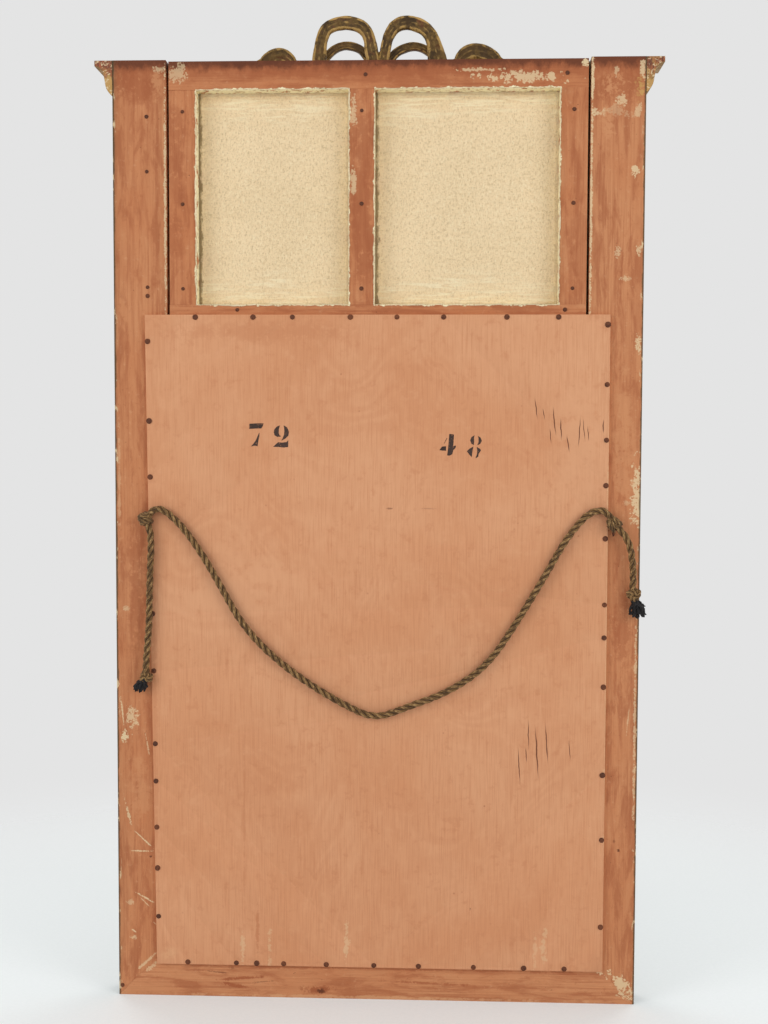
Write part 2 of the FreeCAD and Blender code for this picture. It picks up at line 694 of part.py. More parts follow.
def make_cornice_return(side, label):
    body = new_body(label)
    out = size("cornice_projection")
    corners, bulges = cornice_profile()
    section = [((half_width + across) * side, height) for across, height in corners]
    turned = {number: radius * -side for number, radius in bulges.items()}
    pad(body, "XZ", section, front - out, back, turned)
    over = ((half_width - 1, front + 1), (half_width + out + 1, front - out - 1),
            (half_width - 1, front - out - 1))
    pocket(body, "XY", [(x * side, y) for x, y in over], cornice_foot - 1, top + 1)
    return body


# ---------------------------------------------------------------- the ribbon bow
def ribbon_section(middle, wide, deep, near):
    """Section of the loops' ribbon as (across, depth) corners: two ridges with a groove between."""
    shares = ((-1, 0.2), (-0.6, 0), (-0.2, 0.16), (0.3, 0.16), (0.62, 0), (1, 0.2), (1, 0.85), (-1, 0.85))
    return [(middle + wide * across, near - deep * down) for across, down in shares]


def make_loop(side, label):
    """A loop of the bow: a grooved ribbon in a half circle, standing on two straight legs."""
    body = new_body(label)
    radius = size("loop_radius")
    spring = top + size("loop_leg")
    axis = size("loop_spacing") * side
    wide, deep, near = size("ribbon_width") / 2, size("ribbon_depth"), -size("bow_back")
    for start in (axis - radius, axis + radius):
        facing = wide if start.value < axis.value else -wide
        pad(body, "XY", ribbon_section(start, facing, deep, near), top, spring)
    profile = outline(body, "XY", ribbon_section(axis - radius, wide, deep, near), spring)
    turn = body.newObject("PartDesign::Revolution", label + "_turn")
    line = outline(body, "XY", ((axis, -1), (axis, 1)), spring, closed=False)
    turn.Profile = profile
    turn.ReferenceAxis = (line, ["Edge1"])
    turn.Angle = 180
    body.Tip = turn
    return body


def wave_stations(points):
    """Places and slopes along tangent arcs that run level through every crest and dip."""
    stations = [(FreeCAD.Vector(points[0][0], 0, points[0][1]), 0.0)]
    for (x_from, z_from), (x_to, z_to) in zip(points, points[1:]):
        run, climb = abs(x_to - x_from), z_to - z_from
        radius = (run ** 2 + climb ** 2) / (4 * abs(climb))
        full_slope = math.asin(min(1, run / 2 / radius))
        for step in range(1, 2 * WAVE_STEPS + 1):
            slope = full_slope * min(step, 2 * WAVE_STEPS - step) / WAVE_STEPS
            across, lift = radius * math.sin(slope), radius * (1 - math.cos(slope))
            if step > WAVE_STEPS:
                across, lift = run - across, abs(climb) - lift
            place = FreeCAD.Vector(x_from + math.copysign(across, x_to - x_from), 0,
                                   z_from + math.copysign(lift, climb))
            stations.append((place, math.copysign(slope, climb)))
    return stations


def make_ribbon_tail(side, label):
    """A ribbon tail: a crowned section carried in waves from the knot out along the cornice."""
    half_thick = size("tail_thickness").value / 2
    deep = size("tail_depth").value
    section = ((-deep / 2, -half_thick), (deep / 2, -half_thick), (deep / 2, half_thick * 0.4),
               (deep * 0.2, half_thick), (-deep * 0.2, half_thick), (-deep / 2, half_thick * 0.4))
    wires = []
    for place, slope in wave_stations([(across * side, height) for across, height in TAIL_WAVES]):
        tilt = FreeCAD.Rotation(FreeCAD.Vector(0, 1, 0), -math.degrees(slope) * side)
        corners = [place + tilt.multVec(FreeCAD.Vector(0, y, z)) for y, z in section + section[:1]]
        wires.append(Part.makePolygon(corners))
    part = solid_part(label, faceted_solid(wires))
    y = -size("bow_back").value - size("ribbon_depth").value - size("ribbon_gap").value - deep / 2
    part.Placement = FreeCAD.Placement(FreeCAD.Vector(0, y, top.value), FreeCAD.Rotation())
    return part


def make_bow_knot():
    """The bow's knot: an eight-sided block on the cornice, chamfered round its top."""
    body = new_body("bow_knot")
    across = size("knot_width") / 2
    deep = size("knot_depth") / 2
    y = -size("bow_back") - size("ribbon_depth") - size("ribbon_gap") - deep
    octagon = ((1, -0.4), (1, 0.4), (0.5, 1), (-0.5, 1), (-1, 0.4), (-1, -0.4), (-0.5, -1), (0.5, -1))
    corners = [(across * share_x, y + deep * share_y) for share_x, share_y in octagon]
    block = pad(body, "XY", corners, top, top + size("knot_height"))
    doc.recompute()
    crown = max(range(len(block.Shape.Faces)), key=lambda number: block.Shape.Faces[number].CenterOfMass.z)
    chamfer = body.newObject("PartDesign::Chamfer", "bow_knot_chamfer")
    chamfer.Base = (block, [f"Face{crown + 1}"])
    bind(chamfer, "Size", size("knot_height") / 4)
    body.Tip = chamfer
    return body


# ---------------------------------------------------------------- the rope
def point_at(place):
    return FreeCAD.Vector(place[0], rope_y.value, place[1])


def knot_exit(knot, diameter, towards):
    """Where the rope leaves a knot: on the flat that faces the given point."""
    reach = math.sqrt((diameter / 2) ** 2 - rope_radius.value ** 2) * KNOT_EXIT_DEPTH
    return knot + (towards - knot).normalize() * reach


def rope_path(points):
    """Straight runs joined by tangent arcs; also the least arc radius."""
    edges = []
    radii = []
    start = points[0]
    for before, corner, after in zip(points, points[1:], points[2:]):
        to_corner = (corner - before).normalize()
        from_corner = (after - corner).normalize()
        half_turn = to_corner.getAngle(from_corner) / 2
        reach = 0.45 * min((corner - before).Length, (after - corner).Length)
        radii.append(reach / math.tan(half_turn))
        arc_start = corner - to_corner * reach
        arc_end = corner + from_corner * reach
        inward = (from_corner - to_corner).normalize()
        sagitta = radii[-1] * (1 / math.cos(half_turn) - 1)
        edges.append(Part.LineSegment(start, arc_start).toShape())
        edges.append(Part.Arc(arc_start, corner + inward * sagitta, arc_end).toShape())
        start = arc_end
    edges.append(Part.LineSegment(start, points[-1]).toShape())
    return Part.Wire(edges), min(radii)


def make_rope(label, points):
    """A rope stretch: a round section swept along its route."""
    path, tightest = rope_path(points)
    section = polygon_wire(points[0], points[1] - points[0], rope_radius.value, ROPE_FACETS)
    tube = path.makePipeShell([section], True, False)
    expected = Part.Face(section).Area * path.Length
    print(f"{label}: length {path.Length:.1f}, least radius {tightest:.1f}, "
          f"volume over section times length {tube.Volume / expected:.4f}")
    return solid_part(label, tube)


def faceted_loft(centre, axis, rings):
    """A solid through regular polygons, given as (radius, distance along the axis) from a centre."""
    wires = [polygon_wire(centre + axis * height, axis, radius, ROPE_FACETS) for radius, height in rings]
    return faceted_solid(wires)


def knot_ball(centre, diameter):
    """A knot's body: a faceted ball."""
    radius = diameter / 2
    rings = [(radius * across, radius * up) for across, up in KNOT_PROFILE]
    return faceted_loft(centre, FreeCAD.Vector(0, 0, 1), rings)


def flat_facing(ball, centre, towards):
    """The ball cut flat at a point, square to the line from its centre."""
    reach = ball.BoundBox.DiagonalLength
    block = Part.makeBox(reach * 2, reach * 2, reach * 2, FreeCAD.Vector(-reach, -reach, 0))
    turn = FreeCAD.Rotation(FreeCAD.Vector(0, 0, 1), towards - centre)
    block.Placement = FreeCAD.Placement(towards, turn)
    return ball.cut(block)


def screw_eye(knot, drop, gap=0.0):
    """A screw eye at a knot, its ring out of the wood and its shank screwed in, and that shank alone.

    With a gap the ring is grown to the room that it needs in the knot.
    """
    wire = size("eye_wire").value / 2
    ring = size("eye_radius").value
    length = size("eye_screw_length").value + wire
    centre = FreeCAD.Vector(knot.x, back.value + wire + ring + 1, knot.z - drop)
    start = polygon_wire(centre + FreeCAD.Vector(0, ring, 0), FreeCAD.Vector(0, 0, 1), wire + gap,
                         EYE_FACETS)
    sections = []
    for number in range(EYE_SEGMENTS):
        section = start.copy()
        section.rotate(centre, FreeCAD.Vector(1, 0, 0), 360 * number / EYE_SEGMENTS)
        sections.append(section)
    hoop = faceted_solid(sections, closed=True)
    foot = centre - FreeCAD.Vector(0, ring + length, 0)
    rim = polygon_wire(foot, FreeCAD.Vector(0, 1, 0), wire, EYE_FACETS)
    shank = Part.Face(rim).extrude(FreeCAD.Vector(0, length, 0))
    return hoop.fuse(shank), shank


def eye_place(side):
    """The middle of the rope knot at a screw eye, just outside the backboard's edge."""
    height = size(f"eye_height_{side}").value
    clear = size(f"eye_clear_{side}").value
    if side == "left":
        return point_at((board_left.value - clear, height))
    share = (height - board_foot.value) / (board_head - board_foot).value
    return point_at((along(board_foot_right, board_top_right, share) + clear, height))


def swag_route(right_eye, left_eye):
    """The swag's points between the two eye knots."""
    drop = FreeCAD.Vector(0, 0, size("swag_drop").value)
    return [right_eye + (left_eye - right_eye) * across + drop * up for across, up in SWAG_POINTS]


def make_rope_side(side, eye, swag_next, tail_places, end_place, lean):
    """One end of the rope: screw eye, eye knot, hanging tail, end knot and frayed tuft."""
    end = eye + FreeCAD.Vector(end_place[0], 0, end_place[1])
    eye_size = size("eye_knot_diameter").value
    end_size = size("end_knot_diameter").value
    tail = [eye + FreeCAD.Vector(across, 0, up) for across, up in tail_places]
    swag_exit = knot_exit(eye, eye_size, swag_next)
    tail_exit = knot_exit(eye, eye_size, tail[0])
    tail_end = knot_exit(end, end_size, tail[-1])
    make_rope(f"rope_tail_{side}", [tail_exit] + tail + [tail_end])

    drop = size(f"eye_drop_{side}").value
    eye_shape, bore = screw_eye(eye, drop)
    solid_part(f"screw_eye_{side}", eye_shape)
    room = screw_eye(eye, drop, size("eye_gap").value)[0]
    board_side = FreeCAD.Vector(eye.x, board_back.value + size("eye_gap").value, eye.z)
    knot = knot_ball(eye, eye_size)
    for flat in (swag_exit, tail_exit, board_side):
        knot = flat_facing(knot, eye, flat)
    solid_part(f"eye_knot_{side}", knot.cut(room))

    tuft_exit = knot_exit(end, end_size, end + FreeCAD.Vector(lean[0], 0, lean[1]))
    ball = knot_ball(end, end_size)
    solid_part(f"end_knot_{side}", flat_facing(flat_facing(ball, end, tail_end), end, tuft_exit))
    tuft_length = size("rope_tuft_length").value
    tuft_radius = size("rope_tuft_diameter").value / 2
    rings = [(tuft_radius * share, tuft_length * height) for share, height in TUFT_PROFILE]
    tuft = faceted_loft(tuft_exit, (tuft_exit - end).normalize(), [(rope_radius.value * 0.9, 0)] + rings)
    solid_part(f"rope_tuft_{side}", tuft)
    return swag_exit, bore


def make_ropes():
    """The whole rope; returns the bores that the two screw eyes need in the stiles."""
    right_eye, left_eye = eye_place("right"), eye_place("left")
    swag = swag_route(right_eye, left_eye)
    right_exit, right_bore = make_rope_side("right", right_eye, swag[0], TAIL_POINTS_RIGHT,
                                            END_KNOT_RIGHT, TUFT_LEAN_RIGHT)
    left_exit, left_bore = make_rope_side("left", left_eye, swag[-1], TAIL_POINTS_LEFT,
                                          END_KNOT_LEFT, TUFT_LEAN_LEFT)
    make_rope("rope_swag", [right_exit] + swag + [left_exit])
    return solid_part("screw_eye_bores", Part.makeCompound([left_bore, right_bore]))


# ---------------------------------------------------------------- assembly
def joined_tools(label, tools):
    compound = doc.addObject("Part::Compound", label)
    compound.Label = label
    compound.Links = tools
    return compound


def make_all():
    """Every sub-part; what only shapes them, such as nail holes, keeps out of the finished list."""
    board_holes = nail_group("backboard_nails", board_nail_places())
    strainer_holes = nail_group("strainer_nails", strainer_nail_places())
    stile_holes = nail_group("frame_nails", stile_nail_places())
    tack_holes = nail_group("canvas_tacks", tack_places(), "tack_head", "tack_head_height", "tack_length")
    bores = make_ropes()
    stile_tools = joined_tools("stile_holes", [board_holes, stile_holes, bores])
    strainer_tools = joined_tools("bar_holes", [board_holes, strainer_holes, tack_holes])

    for side, label in ((-1, "left_stile"), (1, "right_stile")):
        cut_part(label, make_stile(side, label), stile_tools)
    cut_part("bottom_rail", make_bottom_rail(), stile_tools)
    make_cross_rail("mid_rail", mid_rail_foot, mid_rail_head)
    make_cross_rail("top_rail", top_rail_foot, top)

    for label, left, right in UPRIGHTS:
        cut_part(label, make_strainer_upright(label, left, right), strainer_tools)
    room = size("bar_tenon_length") + size("joint_play")
    top_bar = make_strainer_level("strainer_top_bar", window_head, strainer_head,
                                  window_head - 1, window_head + room)
    foot_bar = make_strainer_level("strainer_bottom_bar", strainer_foot, window_foot,
                                   window_foot - room, window_foot + 1)
    cut_part("strainer_top_bar", top_bar, strainer_tools)
    cut_part("strainer_bottom_bar", foot_bar, strainer_tools)
    cut_part("painting_canvas", make_canvas(), tack_holes)

    make_mirror_plate()
    make_glazing_blocks()
    cut_part("backboard", make_backboard(), board_holes)
    make_mouldings()
    make_cornice_front()
    for side, label in ((-1, "left"), (1, "right")):
        make_cornice_return(side, f"cornice_return_{label}")
        make_loop(side, f"ribbon_loop_{label}")
        make_ribbon_tail(side, f"ribbon_tail_{label}")
    make_bow_knot()


NODES = (
    "left_stile", "right_stile", "bottom_rail", "mid_rail", "top_rail",
    "strainer_top_bar", "strainer_bottom_bar", "strainer_left_bar", "strainer_middle_bar",
    "strainer_right_bar", "painting_canvas", "canvas_tacks", "strainer_nails", "frame_nails",
    "mirror_plate", "glazing_blocks", "backboard", "backboard_nails",
    "mirror_moulding_left", "mirror_moulding_right", "mirror_moulding_foot", "mirror_moulding_head",
    "painting_moulding_left", "painting_moulding_right", "painting_moulding_foot",
    "painting_moulding_head", "edge_moulding_left", "edge_moulding_right", "edge_moulding_foot",
    "cornice_front", "cornice_return_left", "cornice_return_right",
    "ribbon_loop_left", "ribbon_loop_right", "ribbon_tail_left", "ribbon_tail_right", "bow_knot",
    "screw_eye_left", "screw_eye_right", "eye_knot_left", "eye_knot_right",
    "rope_swag", "rope_tail_left", "rope_tail_right", "end_knot_left", "end_knot_right",
    "rope_tuft_left", "rope_tuft_right",
)


def check_and_export():
    doc.recompute()
    failed = [thing.Label for thing in doc.Objects
              if any(word in thing.State for word in ("Invalid", "Error"))]
    if failed:
        raise RuntimeError(f"failed objects: {failed}")
    by_label = {thing.Label: thing for thing in doc.Objects}
    for label in NODES:
        shape = by_label[label].Shape
        if shape.isNull() or not shape.isValid() or not shape.Solids:
            raise RuntimeError(f"bad shape: {label}")
    os.makedirs("parts", exist_ok=True)
    for label in NODES:
        by_label[label].Shape.exportStep(f"parts/{label}.step")
    print(f"{len(NODES)} nodes, {sum(len(by_label[label].Shape.Solids) for label in NODES)} solids")


make_all()
check_and_export()
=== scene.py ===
"""Trumeau mirror, seen from behind: washed timber, plywood, painted canvas, nails, rope and gilding.

Every piece or group of like pieces has an operator; main() calls them in order. Metres, +Z up, the
front faces -Y. A place is written in millimetres where it is read off the back of the frame.
"""
import math
import random

import bmesh
import bpy
from bpy.props import FloatProperty, FloatVectorProperty, IntProperty, PointerProperty
from mathutils import Matrix, Vector, noise


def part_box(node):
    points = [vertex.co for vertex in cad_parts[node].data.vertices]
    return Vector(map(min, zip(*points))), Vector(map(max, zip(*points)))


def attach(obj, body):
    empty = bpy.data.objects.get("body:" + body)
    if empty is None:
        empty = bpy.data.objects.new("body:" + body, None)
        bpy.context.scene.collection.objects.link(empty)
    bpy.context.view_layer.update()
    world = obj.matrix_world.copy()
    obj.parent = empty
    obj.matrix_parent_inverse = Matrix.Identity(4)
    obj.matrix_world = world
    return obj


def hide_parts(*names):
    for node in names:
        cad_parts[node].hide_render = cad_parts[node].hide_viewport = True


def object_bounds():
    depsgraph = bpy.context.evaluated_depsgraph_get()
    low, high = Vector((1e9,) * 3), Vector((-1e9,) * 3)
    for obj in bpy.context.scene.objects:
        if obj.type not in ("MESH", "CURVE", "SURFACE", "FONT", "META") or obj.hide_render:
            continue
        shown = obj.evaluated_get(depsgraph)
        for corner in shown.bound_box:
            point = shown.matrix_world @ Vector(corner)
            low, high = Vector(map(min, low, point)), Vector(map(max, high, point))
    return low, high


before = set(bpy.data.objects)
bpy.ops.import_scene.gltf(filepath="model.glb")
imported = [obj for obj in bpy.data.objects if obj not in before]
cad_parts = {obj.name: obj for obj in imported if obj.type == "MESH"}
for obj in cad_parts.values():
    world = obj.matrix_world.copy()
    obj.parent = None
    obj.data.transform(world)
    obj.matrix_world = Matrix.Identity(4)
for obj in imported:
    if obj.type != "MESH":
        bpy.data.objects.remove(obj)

bl_info = {
    "name": "Trumeau mirror",
    "version": (1, 0, 0),
    "blender": (4, 5, 0),
    "location": "View3D > Sidebar > Mirror",
    "description": "Dresses a trumeau mirror's frame with timber, plywood, canvas, rope and gilding",
    "category": "Object",
}

CAD_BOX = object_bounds()
MM = 0.001
BACK = 0.013
BOARD_BACK = 0.017
ROPE_DEPTH = 0.0225


# ---------------------------------------------------------------- settings
def screen(red, green, blue):
    """A colour by its screen values, 0 to 255, as the linear values that Blender keeps."""
    shares = [value / 255 for value in (red, green, blue)]
    return [share / 12.92 if share < 0.0404 else ((share + 0.055) / 1.055) ** 2.4 for share in shares]


def colour_setting(name, description, default):
    return FloatVectorProperty(name=name, description=description, default=screen(*default), size=3,
                               subtype="COLOR", min=0, max=1)


def length_setting(name, description, default):
    return FloatProperty(name=name, description=description, default=default, unit="LENGTH", min=0)


class MirrorStageSettings(bpy.types.PropertyGroup):
    """Camera, floor and light."""
    camera_place: FloatVectorProperty(
        name="Camera place", description="Where the camera stands", size=3, subtype="TRANSLATION",
        default=(-0.0668, 1.4784, 0.6394))
    camera_turn: FloatVectorProperty(
        name="Camera turn", description="The camera's rotation", size=3, subtype="EULER",
        default=[math.radians(angle) for angle in (86.873, -0.186, -177.73)])
    lens: FloatProperty(
        name="Lens", description="Focal length of the camera", default=46, unit="CAMERA", min=1)
    wall: colour_setting("Wall", "Colour of the background", (228, 228, 228))
    floor: colour_setting("Floor", "Colour of the floor", (226, 224, 222))
    sky_light: FloatProperty(
        name="Sky light", description="Strength of the light from all round", default=0.6, min=0)
    lamp_power: FloatProperty(
        name="Lamp power", description="Power of each large lamp", default=17, unit="POWER", min=0)
    lamp_size: length_setting("Lamp size", "Side of each large lamp", 1.3)


class MirrorWoodSettings(bpy.types.PropertyGroup):
    """Timber and plywood."""
    wash: colour_setting("Wash", "Red wash over the pine", (197, 126, 83))
    wash_pale: colour_setting("Pale wash", "The wash where it is thin", (209, 146, 102))
    wash_deep: colour_setting("Deep wash", "The wash where it lies thick", (166, 95, 60))
    stain: colour_setting("Stain", "Dark stain along the top", (98, 54, 36))
    gesso: colour_setting("Gesso", "Splashes of gesso", (232, 208, 165))
    raw: colour_setting("Raw wood", "Wood where the wash has gone", (228, 180, 136))
    board: colour_setting("Plywood", "Face of the plywood", (216, 153, 111))
    board_pale: colour_setting("Pale plywood", "The palest parts of the plywood", (224, 166, 125))
    board_deep: colour_setting("Deep plywood", "The reddest parts of the plywood", (200, 134, 94))
    paint: colour_setting("Paint", "Old olive paint on the sides and the front", (116, 97, 68))
    ink: colour_setting("Stencil paint", "Dark paint of the stencilled numbers", (50, 38, 33))
    softening: length_setting("Softened edge", "How far the timber's edges are worn", 0.0007)


class MirrorGiltSettings(bpy.types.PropertyGroup):
    """Gilding on the mouldings and the bow."""
    gold: colour_setting("Gold", "Gilding on the crests", (205, 166, 98))
    gold_dull: colour_setting("Dull gold", "Gilding under grime", (146, 110, 62))
    bole: colour_setting("Bole", "Red clay ground where the gold is rubbed", (121, 62, 38))
    # Grime also stands for painted shade in the carving's hollows.
    grime: colour_setting("Grime", "Dirt in the hollows", (58, 44, 30))
    glass: colour_setting("Silvering", "Colour of the silvered glass", (220, 225, 224))
    backing: colour_setting("Backing", "Grey paint behind the silvering", (96, 92, 88))
    pearl: length_setting("Pearl", "Width of a pearl on the sight mouldings", 0.0046)
    pearl_pitch: length_setting("Pearl pitch", "Distance from pearl to pearl", 0.0062)


class MirrorCanvasSettings(bpy.types.PropertyGroup):
    """The canvas and the paint on its back."""
    cream: colour_setting("Cream", "Ground on the back of the canvas", (246, 220, 178))
    cream_pale: colour_setting("Pale cream", "The ground where it is brushed on thick", (250, 234, 196))
    cream_deep: colour_setting("Deep cream", "The ground where it is dirty", (199, 174, 128))
    dirt: colour_setting("Dirt", "Specks and edges of dirt", (116, 96, 58))
    scumble: colour_setting("Scumble", "Plain glaze on the front", (122, 120, 92))
    scumble_pale: colour_setting("Pale scumble", "The glaze where it is thin", (166, 158, 122))
    thickness: length_setting("Cloth", "Thickness of the canvas", 0.0008)


class MirrorRopeSettings(bpy.types.PropertyGroup):
    """The hanging rope."""
    fibre: colour_setting("Fibre", "Colour of the rope", (128, 94, 52))
    # Pale fibre is rubbed fibre and also a painted highlight; deep fibre is painted shade between yarns and strands,
    # and dark patches of dirt.
    fibre_pale: colour_setting("Pale fibre", "The rope where it is rubbed", (192, 156, 104))
    fibre_deep: colour_setting("Deep fibre", "The rope between its strands", (48, 28, 13))
    tar: colour_setting("Tar", "The frayed ends", (32, 30, 31))
    width: length_setting("Rope width", "Diameter of the rope", 0.008)
    lay: length_setting("Lay", "Length in which a strand goes round once", 0.031)
    strands: IntProperty(name="Strands", description="Number of strands", default=3, min=2, max=5)


class MirrorIronSettings(bpy.types.PropertyGroup):
    """Nails, tacks and screw eyes."""
    iron: colour_setting("Iron", "Colour of old iron", (84, 50, 36))
    rust: colour_setting("Rust", "Colour of rust", (124, 72, 44))
    head: length_setting("Nail head", "Width of a nail head", 0.0062)


def settings(name):
    return getattr(bpy.context.scene, f"mirror_{name}")


# ---------------------------------------------------------------- materials
class Nodes:
    """Adds nodes to one tree; a value that is a socket gets linked, any other is set."""

    def __init__(self, tree):
        self.tree = tree

    def add(self, kind, values=(), **options):
        node = self.tree.nodes.new(kind)
        node.location = (len(self.tree.nodes) % 8 * 190, len(self.tree.nodes) // 8 * -260)
        for name, option in options.items():
            setattr(node, name, option)
        for key, value in dict(values).items():
            if isinstance(value, bpy.types.NodeSocket):
                self.tree.links.new(value, node.inputs[key])
            else:
                node.inputs[key].default_value = value
        return node

    def calc(self, operation, first, second=0.0, third=0.0):
        values = {0: first, 1: second, 2: third}
        return self.add("ShaderNodeMath", values, operation=operation).outputs[0]

    def vector(self, operation, first, second=(0, 0, 0)):
        node = self.add("ShaderNodeVectorMath", {0: first, 1: second}, operation=operation)
        return node.outputs["Value" if operation == "LENGTH" else "Vector"]

    def step(self, value, low, high, out_low=0.0, out_high=1.0):
        values = {"Value": value, "From Min": low, "From Max": high, "To Min": out_low, "To Max": out_high}
        return self.add("ShaderNodeMapRange", values, interpolation_type="SMOOTHSTEP").outputs[0]

    def mix(self, share, first, second, blend="MIX"):
        node = self.add("ShaderNodeMix", data_type="RGBA", blend_type=blend)
        for slot, value in ((0, share), (6, first), (7, second)):
            if isinstance(value, bpy.types.NodeSocket):
                self.tree.links.new(value, node.inputs[slot])
            else:
                node.inputs[slot].default_value = value if slot == 0 else (*value, 1)
        return node.outputs[2]

    def cloud(self, vector, scale, detail=2.0, roughness=0.5, distortion=0.0):
        values = {"Vector": vector, "Scale": scale, "Detail": detail, "Roughness": roughness,
                  "Distortion": distortion}
        return self.add("ShaderNodeTexNoise", values).outputs[0]

    def stretch(self, vector, scale, turn=(0, 0, 0), shift=(0, 0, 0)):
        return self.add("ShaderNodeMapping", {"Vector": vector, "Scale": scale, "Rotation": turn,
                                              "Location": shift}).outputs[0]

    def group(self, name, values):
        return self.add("ShaderNodeGroup", node_tree=bpy.data.node_groups[name], values=values)


def new_group(name, inputs, outputs):
    """A shader node group with its sockets, as (nodes, its inputs by name, its output node)."""
    tree = bpy.data.node_groups.new(name, "ShaderNodeTree")
    for label, kind, default in inputs:
        socket = tree.interface.new_socket(name=label, in_out="INPUT", socket_type=f"NodeSocket{kind}")
        if default is not None:
            socket.default_value = default
    for label, kind in outputs:
        tree.interface.new_socket(name=label, in_out="OUTPUT", socket_type=f"NodeSocket{kind}")
    nodes = Nodes(tree)
    return nodes, nodes.add("NodeGroupInput").outputs, nodes.add("NodeGroupOutput").inputs


def make_patch_group():
    """A ragged patch round a place: 1 inside it, 0 outside."""
    nodes, given, result = new_group(
        "Ragged patch",
        [("Vector", "Vector", None), ("Centre", "Vector", None), ("Reach", "Vector", (1, 1, 1)),
         ("Tilt", "Float", 0.0), ("Ragged", "Float", 0.6), ("Grit", "Float", 120.0),
         ("Softness", "Float", 0.15)],
        [("Mask", "Float")])
    away = nodes.vector("SUBTRACT", given["Vector"], given["Centre"])
    turned = nodes.add("ShaderNodeVectorRotate", {"Vector": away, "Angle": given["Tilt"]},
                       rotation_type="Y_AXIS").outputs[0]
    reach = nodes.vector("LENGTH", nodes.vector("DIVIDE", turned, given["Reach"]))
    rough = nodes.cloud(given["Vector"], given["Grit"], 5.0, 0.6)
    rough = nodes.calc("MULTIPLY", nodes.calc("SUBTRACT", rough, 0.5), given["Ragged"])
    inside = nodes.calc("ADD", nodes.calc("SUBTRACT", 1.0, reach), nodes.calc("MULTIPLY", rough, 2.0))
    chips = nodes.cloud(given["Vector"], nodes.calc("MULTIPLY", given["Grit"], 4.0), 3.0, 0.7)
    whole = nodes.step(nodes.calc("MULTIPLY_ADD", inside, 0.26, chips), 0.49, 0.6)
    mask = nodes.calc("MULTIPLY", nodes.step(inside, 0.0, given["Softness"]), whole)
    nodes.tree.links.new(mask, result["Mask"])


def make_rectangle_group():
    """How far a place lies outside an upright rectangle, in metres; negative inside it."""
    nodes, given, result = new_group(
        "Rectangle distance",
        [("Vector", "Vector", None), ("Centre", "Vector", None), ("Half size", "Vector", None)],
        [("Distance", "Float")])
    away = nodes.vector("ABSOLUTE", nodes.vector("SUBTRACT", given["Vector"], given["Centre"]))
    parts = nodes.add("ShaderNodeSeparateXYZ", {0: nodes.vector("SUBTRACT", away, given["Half size"])}).outputs
    nodes.tree.links.new(nodes.calc("MAXIMUM", parts[0], parts[2]), result["Distance"])


def make_check_group():
    """A fine drying check: 1 along a short line, 0 beside it."""
    nodes, given, result = new_group(
        "Drying check",
        [("Vector", "Vector", None), ("Centre", "Vector", None), ("Reach", "Vector", (1, 1, 1)),
         ("Tilt", "Float", 0.0)],
        [("Mask", "Float")])
    away = nodes.vector("SUBTRACT", given["Vector"], given["Centre"])
    turned = nodes.add("ShaderNodeVectorRotate", {"Vector": away, "Angle": given["Tilt"]},
                       rotation_type="Y_AXIS").outputs[0]
    reach = nodes.vector("LENGTH", nodes.vector("DIVIDE", turned, given["Reach"]))
    nodes.tree.links.new(nodes.step(reach, 1.0, 0.35), result["Mask"])


def make_grain_group():
    """Fine streaks and slow figure along a grain; Stretch scales the place before the noise."""
    nodes, given, result = new_group(
        "Grain",
        [("Vector", "Vector", None), ("Stretch", "Vector", (300, 300, 10)), ("Rings", "Float", 5.0),
         ("Sway", "Float", 1.0)],
        [("Streaks", "Float"), ("Figure", "Float"), ("Pores", "Float")])
    along = nodes.vector("MULTIPLY", given["Vector"], given["Stretch"])
    streaks = nodes.cloud(along, 1.0, 6.0, 0.62, given["Sway"])
    slow = nodes.cloud(nodes.vector("MULTIPLY", along, (0.06, 0.06, 0.16)), 1.0, 2.0, 0.4, given["Sway"])
    rings = nodes.calc("FRACT", nodes.calc("MULTIPLY", slow, nodes.calc("MULTIPLY", given["Rings"], 3.0)))
    figure = nodes.calc("ABSOLUTE", nodes.calc("SUBTRACT", rings, 0.5))
    pores = nodes.cloud(nodes.vector("MULTIPLY", along, (3.2, 3.2, 2.2)), 1.0, 2.0, 0.7)
    nodes.tree.links.new(streaks, result["Streaks"])
    nodes.tree.links.new(nodes.step(figure, 0.0, 0.5), result["Figure"])
    nodes.tree.links.new(nodes.step(pores, 0.62, 0.72), result["Pores"])


def make_facing_group():
    """Which way a surface looks: masks for the back, the outer sides, the front and the top."""
    nodes, given, result = new_group(
        "Facing", [("Edge", "Float", 0.55)],
        [("Back", "Float"), ("Side", "Float"), ("Front", "Float"), ("Top", "Float")])
    normal = nodes.add("ShaderNodeNewGeometry").outputs["Normal"]
    parts = nodes.add("ShaderNodeSeparateXYZ", {0: normal}).outputs
    low = nodes.calc("SUBTRACT", given["Edge"], 0.1)
    high = nodes.calc("ADD", given["Edge"], 0.1)
    backward = nodes.step(parts[1], low, high)
    sideways = nodes.step(nodes.calc("ABSOLUTE", parts[0]), low, high)
    forward = nodes.step(nodes.calc("MULTIPLY", parts[1], -1.0), low, high)
    upward = nodes.step(parts[2], low, high)
    for label, mask in (("Back", backward), ("Side", sideways), ("Front", forward), ("Top", upward)):
        nodes.tree.links.new(mask, result[label])


